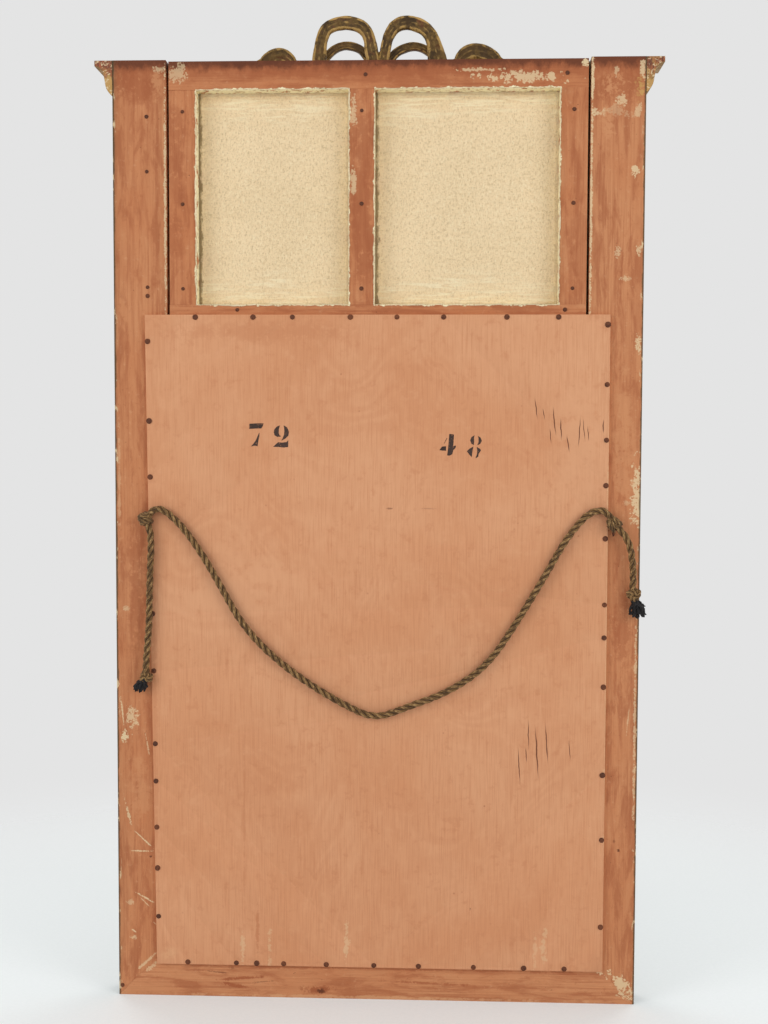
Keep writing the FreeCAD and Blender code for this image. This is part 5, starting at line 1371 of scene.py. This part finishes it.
class MIRROR_OT_knots(bpy.types.Operator):
    """Tie the rope's knots: a tight overhand turn of laid strands"""
    bl_idname = "mirror.knots"
    bl_label = "Rope knots"

    def execute(self, context):
        rope = settings("rope")
        fibre = bpy.data.materials["rope_fibre"]
        for node, middle, reach, tilt, seed in KNOTS:
            width = rope.width * 0.78
            swing = (reach * MM - width / 2) / 2.7
            turn = Matrix.Rotation(math.radians(tilt), 3, "Y")
            line = []
            for number in range(120):
                angle = 2 * math.pi * number / 120
                local = Vector((math.sin(angle) + 2 * math.sin(2 * angle), -0.9 * math.sin(3 * angle),
                                math.cos(angle) - 2 * math.cos(2 * angle))) * swing
                wander = noise.noise_vector(Vector((angle * 1.3, seed, 0))) * 0.0004
                line.append(Vector((middle[0] * MM, ROPE_DEPTH, middle[1] * MM)) + turn @ local + wander)
            tubes = TubeMesh()
            lay_strands(tubes, line, width, rope.lay * 0.52, rope.strands, closed=True, start=seed)
            if node.startswith("eye"):
                self.wrap(tubes, middle, tilt, seed)
            hand_over(tubes.build(f"{node}_tied"), fibre, "rope", node)
        return {"FINISHED"}


    def wrap(self, tubes, middle, tilt, seed):
        """Three turns of the rope's end round the knot, side by side."""
        rope = settings("rope")
        turn = Matrix.Rotation(math.radians(tilt * 0.9), 3, "Y")
        for number in range(3):
            line = []
            for step in range(44):
                angle = 2 * math.pi * step / 44
                wide = 5.4 + 0.5 * math.sin(number * 2.3 + seed)
                local = Vector((math.cos(angle) * wide, math.sin(angle) * 4.4,
                                (number - 1) * 4.4 + 1.3 * math.sin(angle + number + seed)))
                line.append(Vector((middle[0] * MM, ROPE_DEPTH, middle[1] * MM)) + turn @ local * MM)
            lay_strands(tubes, line, rope.width * 0.6, rope.lay * 0.5, rope.strands, closed=True, start=number)


class MIRROR_OT_tufts(bpy.types.Operator):
    """Fray the rope's two tarred ends below the end knots"""
    bl_idname = "mirror.tufts"
    bl_label = "Frayed ends"

    def execute(self, context):
        tar = rope_material("rope_tar", tarred=True)
        for node, knot, middle, half, seed in TUFTS:
            chance = random.Random(seed)
            start = Vector((knot[0] * MM, ROPE_DEPTH, knot[1] * MM))
            lump = Vector((middle[0] * MM, ROPE_DEPTH, middle[1] * MM))
            tubes = TubeMesh()
            for number in range(36):
                angle = 2 * math.pi * number / 36 * 5 + chance.uniform(-0.3, 0.3)
                reach = 0.95 * math.sqrt(chance.uniform(0.05, 1))
                end = lump + Vector((math.cos(angle) * half[0] * reach, chance.uniform(-4, 4.5),
                                     math.sin(angle) * half[1] * reach)) * MM
                via = start.lerp(lump, 0.5) + Vector([chance.uniform(-3, 3) * MM for _ in range(3)])
                curl = Vector([chance.uniform(-1, 1) for _ in range(3)]) * 0.002
                thick = chance.uniform(0.0011, 0.002)
                line, radii = [], []
                for step in range(8):
                    share = 0.25 + 0.75 * step / 7
                    bent = start * (1 - share) ** 2 + via * (2 * share * (1 - share)) + end * share ** 2
                    line.append(bent + curl * math.sin(share * math.pi * 2))
                    radii.append(thick * (0.75 + 0.35 * abs(math.sin(step * 1.7 + number))) * (0.55 if step == 7 else 1))
                tubes.add(line, radii, 7)
            hand_over(tubes.build(f"{node}_frayed"), tar, "tarred_rope", node)
        return {"FINISHED"}


class MIRROR_OT_screw_eyes(bpy.types.Operator):
    """Model the two screw eyes that the rope is tied to"""
    bl_idname = "mirror.screw_eyes"
    bl_label = "Screw eyes"

    def execute(self, context):
        iron = bpy.data.materials["rusty_iron"]
        for node in ("screw_eye_left", "screw_eye_right"):
            low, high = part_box(node)
            wire = (high[0] - low[0]) / 2
            ring = (high[2] - low[2]) / 2 - wire
            centre = Vector(((low[0] + high[0]) / 2, high[1] - ring - wire, (low[2] + high[2]) / 2))
            choose()
            bpy.ops.mesh.primitive_torus_add(location=centre, rotation=(0, math.pi / 2, 0), major_radius=ring,
                                             minor_radius=wire * 0.98, major_segments=40, minor_segments=12)
            hoop = settle(bpy.context.object)
            choose()
            bpy.ops.mesh.primitive_cylinder_add(vertices=14, radius=wire * 0.95, depth=0.002,
                                                location=(centre.x, centre.y - ring - 0.001, centre.z),
                                                rotation=(math.pi / 2, 0, 0))
            shank = settle(bpy.context.object)
            bpy.ops.object.mode_set(mode="EDIT")
            depth = shank.data.vertices[0].co.y
            for number in range(8):
                select_faces(shank, lambda face: face.calc_center_median().y < centre.y - ring - 0.001
                             and face.normal.y < -0.9)
                bpy.ops.mesh.extrude_region_move(TRANSFORM_OT_translate={"value": (0, -0.0006, 0)})
                grow = 0.78 if number % 2 == 0 else 1.2
                bpy.ops.transform.resize(value=(grow, 1, grow), center_override=(centre.x, depth, centre.z))
            bpy.ops.object.mode_set(mode="OBJECT")
            eye = joined([hoop, shank], f"{node}_bent")
            bpy.ops.object.shade_smooth_by_angle(angle=math.radians(50))
            hand_over(eye, iron, "old_iron", node)
        return {"FINISHED"}


# ---------------------------------------------------------------- ribbon bow
# A ribbon's section (across, depth) as shares of half its width and of its depth: rolled borders, a
# groove inside each and a low rib down the middle, alike in front and behind.
RIBBON_SECTION = (
    (-1, 0.12), (-0.93, 0.36), (-0.76, 0.48), (-0.58, 0.47), (-0.44, 0.4), (-0.22, 0.41), (0, 0.46),
    (0.22, 0.41), (0.44, 0.4), (0.58, 0.47), (0.76, 0.48), (0.93, 0.36), (1, 0.12),
    (1, -0.12), (0.93, -0.36), (0.76, -0.48), (0.58, -0.47), (0.44, -0.4), (0.22, -0.41), (0, -0.46),
    (-0.22, -0.41), (-0.44, -0.4), (-0.58, -0.47), (-0.76, -0.48), (-0.93, -0.36), (-1, -0.12),
)
# Middle line of each loop (X, Z) in millimetres with the ribbon's half width there.
LOOP_RIGHT = ((67.5, 1058, 8.4), (66.8, 1070, 8), (65.4, 1082, 7.2), (63.4, 1092, 6.9), (58.6, 1101.3, 7.1),
              (49.5, 1106.4, 7.4), (35, 1108.1, 7.7), (21, 1104.6, 7.4), (13.4, 1097.6, 7), (10, 1088, 6.9),
              (8.6, 1079.5, 7.6), (6.6, 1069.5, 7.5), (5, 1058, 7.4))
LOOP_LEFT = ((-5, 1058, 6.4), (-6, 1069.5, 6), (-8.4, 1082, 6), (-11.4, 1093, 6.4), (-16.5, 1101.6, 6.9),
             (-23.5, 1106.4, 7.6), (-33, 1107.8, 7.8), (-46.3, 1104.4, 8), (-56, 1096.8, 7.8),
             (-61.4, 1086.5, 8), (-64.4, 1075, 9.6), (-66, 1066, 11), (-67, 1058, 11.4))
# Middle line of each tail: distance from the centre line, height over the frame, half thickness.
TAIL_RIGHT = ((8, 2, 4.6), (12.8, 12, 4.8), (21.5, 22, 4.7), (37.5, 26.2, 4.6), (51, 21.6, 4.6),
              (61, 12.5, 4.8), (72, 5.5, 5), (84, 4, 4.4), (96, 5.5, 5), (101.5, 11, 7), (110, 15.4, 8.6),
              (119, 14.6, 8.6), (126.5, 10.6, 8), (133, 6, 6), (146, 4, 3.6), (157, 5.2, 3), (166, 6, 3),
              (177, 4, 2.8), (187, 2.9, 2.4))
TAIL_LEFT = ((8, 2, 4.6), (14, 12, 5), (24.5, 20.8, 4.9), (41, 24.8, 4.8), (54.5, 19.8, 4.8), (64.5, 11, 5),
             (73, 5, 5), (87, 5.5, 5.4), (92.5, 11, 7.2), (99, 16.2, 8.8), (107.5, 18.8, 9), (118.5, 16.8, 9),
             (128.5, 11.4, 8.2), (136, 6, 6), (147, 4, 3.6), (157, 5.2, 3), (166, 6, 3), (177, 4, 2.8),
             (187, 2.9, 2.4))


def smooth_stations(points, per_span=4):
    """Rounded stations (X, Z, half width) through measured ones."""
    stations = []
    for number in range(len(points) - 1):
        before, start = points[max(0, number - 1)], points[number]
        end, after = points[number + 1], points[min(len(points) - 1, number + 2)]
        for step in range(per_span):
            t = step / per_span
            stations.append([0.5 * (2 * b + (c - a) * t + (2 * a - 5 * b + 4 * c - d) * t ** 2
                                    + (3 * b - a - 3 * c + d) * t ** 3)
                             for a, b, c, d in zip(before, start, end, after)])
    stations.append(list(points[-1]))
    return stations


def carved_ribbon(name, stations, depth, middle):
    """Extrude the ribbon's section along upright stations (X, Z, half width), in millimetres.

    depth is the ribbon's size along Y and middle the Y of its middle, in metres.
    """
    choose()
    bpy.ops.mesh.primitive_circle_add(vertices=len(RIBBON_SECTION), fill_type="NGON")
    ribbon = bpy.context.object
    ribbon.name = name
    headings = []
    for number in range(len(stations)):
        before, after = stations[max(0, number - 1)], stations[min(len(stations) - 1, number + 1)]
        headings.append(math.atan2(after[1] - before[1], after[0] - before[0]))
    across = Vector((-math.sin(headings[0]), 0, math.cos(headings[0])))
    here = Vector((stations[0][0] * MM, middle, stations[0][1] * MM))
    for vertex, (share, down) in zip(ribbon.data.vertices, RIBBON_SECTION):
        vertex.co = here + across * (share * stations[0][2] * MM) + Vector((0, down * depth, 0))
    bpy.ops.object.mode_set(mode="EDIT")
    bpy.ops.mesh.select_all(action="SELECT")
    for number in range(1, len(stations)):
        there = Vector((stations[number][0] * MM, middle, stations[number][1] * MM))
        bpy.ops.mesh.extrude_region_move(TRANSFORM_OT_translate={"value": there - here})
        turn = (headings[number] - headings[number - 1] + math.pi) % (2 * math.pi) - math.pi
        bpy.ops.transform.rotate(value=turn, orient_axis="Y", orient_type="GLOBAL", center_override=there)
        grow = stations[number][2] / stations[number - 1][2]
        bpy.ops.transform.resize(value=(grow, 1, grow), orient_type="GLOBAL", center_override=there)
        here = there
    bpy.ops.mesh.select_all(action="SELECT")
    bpy.ops.mesh.normals_make_consistent(inside=False)
    bpy.ops.object.mode_set(mode="OBJECT")
    return ribbon


def carve(obj, coarse=0.0011, fine=0.0004, levels=1):
    """Give a piece the uneven surface of carving, and store its hollows in a colour attribute."""
    if levels:
        apply_modifier(obj, "SUBSURF", levels=levels, render_levels=levels)
    for name, size, strength in (("gouge", 0.011, coarse), ("chip", 0.0035, fine)):
        texture = bpy.data.textures.get(name) or bpy.data.textures.new(name, "CLOUDS")
        texture.noise_scale = size
        apply_modifier(obj, "DISPLACE", texture=texture, strength=strength, mid_level=0.5,
                       texture_coords="GLOBAL")
    choose(obj)
    bpy.ops.object.shade_smooth_by_angle(angle=math.radians(60))
    mark_hollows(obj)


def mark_hollows(obj):
    """Store how hollow or raised the surface is, from dark to light, in the attribute Hollows."""
    hollows = obj.data.color_attributes.new(name="Hollows", type="FLOAT_COLOR", domain="POINT")
    obj.data.color_attributes.active_color = hollows
    mesh = bmesh.new()
    mesh.from_mesh(obj.data)
    bends = []
    for vertex in mesh.verts:
        near = [edge.other_vert(vertex).co for edge in vertex.link_edges]
        middle = sum(near, Vector()) / max(1, len(near))
        spread = sum((point - vertex.co).length for point in near) / max(1, len(near))
        bends.append((vertex.co - middle).dot(vertex.normal) / max(spread, 1e-6))
    near = [[edge.other_vert(vertex).index for edge in vertex.link_edges] for vertex in mesh.verts]
    mesh.free()
    for _ in range(3):
        bends = [0.35 * bend + 0.65 * sum(bends[index] for index in indices) / max(1, len(indices))
                 for bend, indices in zip(bends, near)]
    for mark, bend in zip(hollows.data, bends):
        value = min(1.0, max(0.0, 0.5 + bend * 1.6))
        mark.color = (value, value, value, 1)


def gilt_material(name, hollows=False, dullness=0.5, bare_ends=False):
    """Worn gilding: gold on what stands proud, red ground where rubbed, grime in the hollows. On carving the hollows
    are darkened as grime and painted shade, and the crests get bright gold as a painted highlight over the rubbed
    gilding.
    """
    gilt = settings("gilt")
    material, nodes, shader, place = new_material(name, 0.5)
    grime = nodes.group("Grime", {"Vector": place, "Scale": 26.0, "Speck": 0.5})
    tone = 0.4 if hollows else 1.0
    colour = nodes.mix(nodes.step(grime.outputs["Mottle"], 0.35, 0.68, 1.0 - dullness * 0.5, 0.0),
                       [part * tone for part in gilt.gold_dull], [part * tone for part in gilt.gold])
    rub = nodes.cloud(place, 75.0, 6.0, 0.68)
    colour = nodes.mix(nodes.calc("MULTIPLY", nodes.step(rub, 0.55, 0.63), 0.55), colour, tuple(gilt.bole))
    shine = nodes.step(rub, 0.48, 0.62, 0.75, 0.15)
    if hollows:
        level = nodes.add("ShaderNodeAttribute", attribute_name="Hollows").outputs["Fac"]
        # Darker in the carving's hollows: grime and painted shade.
        colour = nodes.mix(nodes.calc("MULTIPLY", nodes.step(level, 0.5, 0.36), 0.8), colour, tuple(gilt.grime))
        umber = nodes.cloud(nodes.stretch(place, (70, 70, 70)), 1.0, 6.0, 0.66)
        colour = nodes.mix(nodes.calc("MULTIPLY", nodes.step(umber, 0.47, 0.58), 0.8), colour, tuple(gilt.grime))
        colour = nodes.mix(nodes.calc("MULTIPLY", nodes.step(umber, 0.45, 0.36), 0.7), colour,
                           [part * 0.5 for part in gilt.bole])
        # Bright gold on the convex crests: rubbed gilding and a painted highlight.
        crest_gilt_and_highlight = nodes.calc("MULTIPLY", nodes.step(level, 0.51, 0.56), nodes.step(rub, 0.42, 0.52))
        colour = nodes.mix(nodes.calc("MULTIPLY", crest_gilt_and_highlight, 0.85), colour, tuple(gilt.gold))
    colour = nodes.mix(nodes.calc("MULTIPLY", grime.outputs["Cloud"], 0.4 * dullness + 0.15), colour,
                       [part * 0.6 for part in gilt.gold_dull])
    colour = nodes.mix(nodes.calc("MULTIPLY", grime.outputs["Specks"], 0.8), colour, tuple(gilt.grime))
    shine = nodes.calc("MULTIPLY", shine, 0.85)
    if bare_ends:
        wood = settings("wood")
        behind = nodes.group("Facing", {"Edge": 0.8}).outputs["Back"]
        end_grain = nodes.cloud(nodes.stretch(place, (380, 380, 120)), 1.0, 5.0, 0.65)
        end_wood = nodes.mix(nodes.step(end_grain, 0.35, 0.65), tuple(wood.stain), tuple(wood.wash_deep))
        parts = nodes.add("ShaderNodeSeparateXYZ", {0: place}).outputs
        spilt = nodes.calc("MULTIPLY", nodes.step(rub, 0.5, 0.6), 0.4)
        low = nodes.calc("MULTIPLY_ADD", nodes.step(rub, 0.35, 0.65), 0.012, parts[2])
        spilt = nodes.calc("MAXIMUM", spilt, nodes.calc("MULTIPLY", nodes.step(low, 1.052, 1.044), 0.75))
        end_wood = nodes.mix(spilt, end_wood, tuple(gilt.gold))
        chipped = nodes.calc("MULTIPLY", nodes.step(grime.outputs["Mottle"], 0.56, 0.6), 0.8)
        colour = nodes.mix(behind, colour, nodes.mix(chipped, end_wood, tuple(wood.gesso)))
        shine = nodes.calc("MULTIPLY", shine, nodes.calc("SUBTRACT", 1.0, behind))
    nodes.tree.links.new(shine, shader.inputs["Metallic"])
    finish_material(nodes, shader, colour, rub, 0.0005, 0.5, nodes.step(rub, 0.4, 0.65, 0.42, 0.75))
    return material


class MIRROR_OT_bow(bpy.types.Operator):
    """Carve the ribbon bow on the cornice: two loops, two tails and the knot"""
    bl_idname = "mirror.bow"
    bl_label = "Ribbon bow"

    def execute(self, context):
        gold = gilt_material("carved_gilding", hollows=True, dullness=0.7)
        for side, loop in (("right", LOOP_RIGHT), ("left", LOOP_LEFT)):
            low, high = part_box(f"ribbon_loop_{side}")
            ribbon = carved_ribbon(f"ribbon_loop_{side}_carved", smooth_stations(loop),
                                   (high[1] - low[1]) * 0.92, (low[1] + high[1]) / 2)
            self.trim_foot(ribbon)
            carve(ribbon)
            self.keep_inside(ribbon)
            hand_over(ribbon, gold, "gilded_carving", f"ribbon_loop_{side}")
        for side, sign, tail in (("right", 1, TAIL_RIGHT), ("left", -1, TAIL_LEFT)):
            low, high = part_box(f"ribbon_tail_{side}")
            stations = [(x * sign, 1060 + z, half) for x, z, half in smooth_stations(tail, 3)]
            ribbon = carved_ribbon(f"ribbon_tail_{side}_carved", stations, (high[1] - low[1]) * 0.92,
                                   (low[1] + high[1]) / 2)
            self.trim_foot(ribbon)
            carve(ribbon, 0.0009, 0.0003)
            hand_over(ribbon, gold, "gilded_carving", f"ribbon_tail_{side}")
        hand_over(self.tie_knot(), gold, "gilded_carving", "bow_knot")
        return {"FINISHED"}

    def trim_foot(self, ribbon):
        """Cut a ribbon off flat where it stands on the frame."""
        choose(ribbon)
        bpy.ops.object.mode_set(mode="EDIT")
        bpy.ops.mesh.select_all(action="SELECT")
        bpy.ops.mesh.bisect(plane_co=(0, 0, 1.0601), plane_no=(0, 0, 1), clear_inner=True, use_fill=True)
        bpy.ops.object.mode_set(mode="OBJECT")

    def keep_inside(self, ribbon):
        """Hold the carved surface under the height of the solid that it stands for."""
        for vertex in ribbon.data.vertices:
            vertex.co.z = min(vertex.co.z, CAD_BOX[1][2] - 0.0002)

    def tie_knot(self):
        """The bow's knot: a pinched, upright bundle of folds."""
        low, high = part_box("bow_knot")
        middle = Vector(((low[0] + high[0]) / 2, (low[1] + high[1]) / 2, low[2]))
        choose()
        bpy.ops.mesh.primitive_circle_add(vertices=40, fill_type="NGON", radius=1, location=(0, 0, 0))
        knot = bpy.context.object
        knot.name = "bow_knot_carved"
        half_wide, half_deep = (high[0] - low[0]) / 2, (high[1] - low[1]) / 2
        for vertex in knot.data.vertices:
            angle = math.atan2(vertex.co.y, vertex.co.x)
            fold = 0.9 + 0.1 * math.cos(angle * 8)
            vertex.co = middle + Vector((half_wide * fold * vertex.co.x, half_deep * fold * vertex.co.y, 0)) * 0.8
        bpy.ops.object.mode_set(mode="EDIT")
        bpy.ops.mesh.select_all(action="SELECT")
        height, before = high[2] - low[2], 0.8
        for share, wide in ((0.12, 0.93), (0.26, 0.99), (0.42, 0.94), (0.56, 0.95), (0.72, 0.98), (0.86, 0.88),
                            (0.95, 0.66), (0.99, 0.35)):
            lift = middle.z + height * share
            here = (middle.x, middle.y, lift)
            step = lift - max(vertex.co.z for vertex in bmesh.from_edit_mesh(knot.data).verts)
            bpy.ops.mesh.extrude_region_move(TRANSFORM_OT_translate={"value": (0, 0, step)})
            bpy.ops.transform.resize(value=(wide / before, wide / before, 1), center_override=here)
            before = wide
        bpy.ops.mesh.select_all(action="SELECT")
        bpy.ops.mesh.normals_make_consistent(inside=False)
        bpy.ops.object.mode_set(mode="OBJECT")
        carve(knot, 0.0006, 0.0003)
        return knot


# ---------------------------------------------------------------- mouldings, glass and blocks
SIDES = ("left", "right", "foot", "head")
PEARL_INSET, PEARL_RISE = 4.2, 4.5


def run_of_pearls(pattern, start, end, pitch):
    """Pearls like the pattern from start to end, both included, as one mesh."""
    span = end - start
    count = round(span.length / pitch)
    row = new_object("pearl_row", pattern.data.copy())
    row.data.transform(Matrix.Translation(start))
    apply_modifier(row, "ARRAY", count=count + 1, use_relative_offset=False, use_constant_offset=True,
                   constant_offset_displace=span / count)
    return row


def half_pearl(width):
    """A low pearl that faces the front, open to nothing: its back is closed flat."""
    choose()
    bpy.ops.mesh.primitive_uv_sphere_add(segments=8, ring_count=6, radius=width / 2,
                                         rotation=(math.pi / 2, 0, 0))
    pearl = settle(bpy.context.object)
    bpy.ops.object.mode_set(mode="EDIT")
    bpy.ops.mesh.select_all(action="SELECT")
    bpy.ops.mesh.bisect(plane_co=(0, width * 0.28, 0), plane_no=(0, 1, 0), clear_outer=True, use_fill=True)
    bpy.ops.object.mode_set(mode="OBJECT")
    bpy.ops.object.shade_smooth_by_angle(angle=math.radians(60))
    return pearl


class MIRROR_OT_mouldings(bpy.types.Operator):
    """Gild the mouldings and the cornice, and set a row of pearls in each sight moulding"""
    bl_idname = "mirror.mouldings"
    bl_label = "Mouldings and cornice"

    def execute(self, context):
        gold = gilt_material("moulding_gilding", dullness=0.45)
        ended = gilt_material("cornice_gilding", dullness=0.8, bare_ends=True)
        nodes = [f"{frame_name}_moulding_{side}" for frame_name in ("mirror", "painting") for side in SIDES]
        nodes += [f"edge_moulding_{side}" for side in SIDES[:3]]
        for node in nodes:
            hand_over(dressed_copy(node, 0.0004), gold, "gilded_wood", node)
        for node in ("cornice_front", "cornice_return_left", "cornice_return_right"):
            hand_over(dressed_copy(node, 0.0005), ended, "gilded_wood", node)
        for frame_name in ("mirror", "painting"):
            pearls = self.set_pearls(frame_name)
            hand_over(pearls, gold, "gilded_wood")
        return {"FINISHED"}

    def set_pearls(self, frame_name):
        gilt = settings("gilt")
        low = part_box(f"{frame_name}_moulding_left")[0]
        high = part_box(f"{frame_name}_moulding_right")[1]
        inset, depth = PEARL_INSET * MM, high[1] - PEARL_RISE * MM
        left, right, foot, head = low[0] + inset, high[0] - inset, low[2] + inset, high[2] - inset
        pattern = half_pearl(gilt.pearl)
        pitch = gilt.pearl_pitch
        rows = []
        for near, far, skipped in (((left, foot), (right, foot), 0), ((left, head), (right, head), 0),
                                   ((left, foot), (left, head), pitch), ((right, foot), (right, head), pitch)):
            start, end = (Vector((x, depth, z)) for x, z in (near, far))
            step = (end - start).normalized() * skipped
            rows.append(run_of_pearls(pattern, start + step, end - step, pitch))
        bpy.data.objects.remove(pattern)
        return joined(rows, f"{frame_name}_pearls")


def finish_node(node, material):
    """Give a CAD node whose shape stays a finer material."""
    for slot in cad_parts[node].material_slots:
        slot.material = material


class MIRROR_OT_glass(bpy.types.Operator):
    """Silver the mirror plate and roughen the blocks that hold it"""
    bl_idname = "mirror.glass"
    bl_label = "Glass and blocks"

    def execute(self, context):
        finish_node("mirror_plate", self.silvered_glass())
        finish_node("glazing_blocks", self.rough_pine())
        return {"FINISHED"}

    def silvered_glass(self):
        """Silvered glass in front, a little foxed; grey paint behind."""
        gilt = settings("gilt")
        material, nodes, shader, place = new_material("silvered_glass", 0.04, 1.0)
        grime = nodes.group("Grime", {"Vector": place, "Scale": 8.0, "Speck": 0.5})
        facing = nodes.group("Facing", {})
        low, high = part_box("mirror_plate")
        inward = rectangle_distance(nodes, place, low[0] / MM, high[0] / MM, low[2] / MM, high[2] / MM)
        foxing = nodes.cloud(place, 34.0, 6.0, 0.7)
        foxed = nodes.step(nodes.calc("MULTIPLY_ADD", foxing, 0.05, inward), 0.016, 0.03)
        silver = nodes.mix(nodes.calc("MULTIPLY", foxed, 0.7), tuple(gilt.glass), (0.2, 0.17, 0.13))
        backing = nodes.mix(grime.outputs["Cloud"], tuple(gilt.backing), [part * 0.7 for part in gilt.backing])
        colour = nodes.mix(facing.outputs["Front"], backing, silver)
        bright = nodes.calc("MULTIPLY", facing.outputs["Front"], nodes.calc("MULTIPLY_ADD", foxed, -0.5, 1.0))
        nodes.tree.links.new(bright, shader.inputs["Metallic"])
        rough = nodes.calc("MULTIPLY_ADD", bright, -0.56, 0.6)
        finish_material(nodes, shader, colour, roughness=rough)
        return material

    def rough_pine(self):
        """Bare sawn pine."""
        palette = wood_palette()
        material, nodes, shader, place = new_material("rough_pine", 0.8)
        grain = nodes.group("Grain", {"Vector": place, "Stretch": (300, 300, 14), "Rings": 5.0, "Sway": 0.6})
        colour = nodes.mix(nodes.step(grain.outputs["Streaks"], 0.4, 0.65), palette["raw"], palette["board_deep"])
        colour = nodes.mix(nodes.calc("MULTIPLY", grain.outputs["Pores"], 0.4), colour, palette["wash_deep"])
        finish_material(nodes, shader, colour, grain.outputs["Streaks"], 0.0004, 0.6)
        return material


# ---------------------------------------------------------------- registration
SETTINGS = {"stage": MirrorStageSettings, "wood": MirrorWoodSettings, "gilt": MirrorGiltSettings,
            "canvas": MirrorCanvasSettings, "rope": MirrorRopeSettings, "iron": MirrorIronSettings}
OPERATORS = (MIRROR_OT_stage, MIRROR_OT_rope, MIRROR_OT_frame, MIRROR_OT_strainer, MIRROR_OT_canvas,
             MIRROR_OT_backboard, MIRROR_OT_numbers, MIRROR_OT_nails, MIRROR_OT_knots, MIRROR_OT_tufts,
             MIRROR_OT_screw_eyes, MIRROR_OT_bow, MIRROR_OT_mouldings, MIRROR_OT_glass)


class MIRROR_PT_pieces(bpy.types.Panel):
    """The mirror's pieces, one button each, and their settings"""
    bl_label = "Trumeau mirror"
    bl_idname = "MIRROR_PT_pieces"
    bl_space_type = "VIEW_3D"
    bl_region_type = "UI"
    bl_category = "Mirror"

    def draw(self, context):
        for operator in OPERATORS:
            self.layout.operator(operator.bl_idname)
        for name, group in SETTINGS.items():
            box = self.layout.box()
            box.label(text=name.capitalize())
            for setting in group.__annotations__:
                box.prop(settings(name), setting)


def register():
    for group in (*SETTINGS.values(), *OPERATORS, MIRROR_PT_pieces):
        bpy.utils.register_class(group)
    for name, group in SETTINGS.items():
        setattr(bpy.types.Scene, f"mirror_{name}", PointerProperty(type=group))


def unregister():
    for name in SETTINGS:
        delattr(bpy.types.Scene, f"mirror_{name}")
    for group in reversed((*SETTINGS.values(), *OPERATORS, MIRROR_PT_pieces)):
        bpy.utils.unregister_class(group)


def main():
    register()
    for make_group in (make_patch_group, make_rectangle_group, make_check_group, make_grain_group,
                       make_facing_group, make_grime_group):
        make_group()
    for operator in OPERATORS:
        group, name = operator.bl_idname.split(".")
        getattr(getattr(bpy.ops, group), name)()


if __name__ == "__main__":
    main()
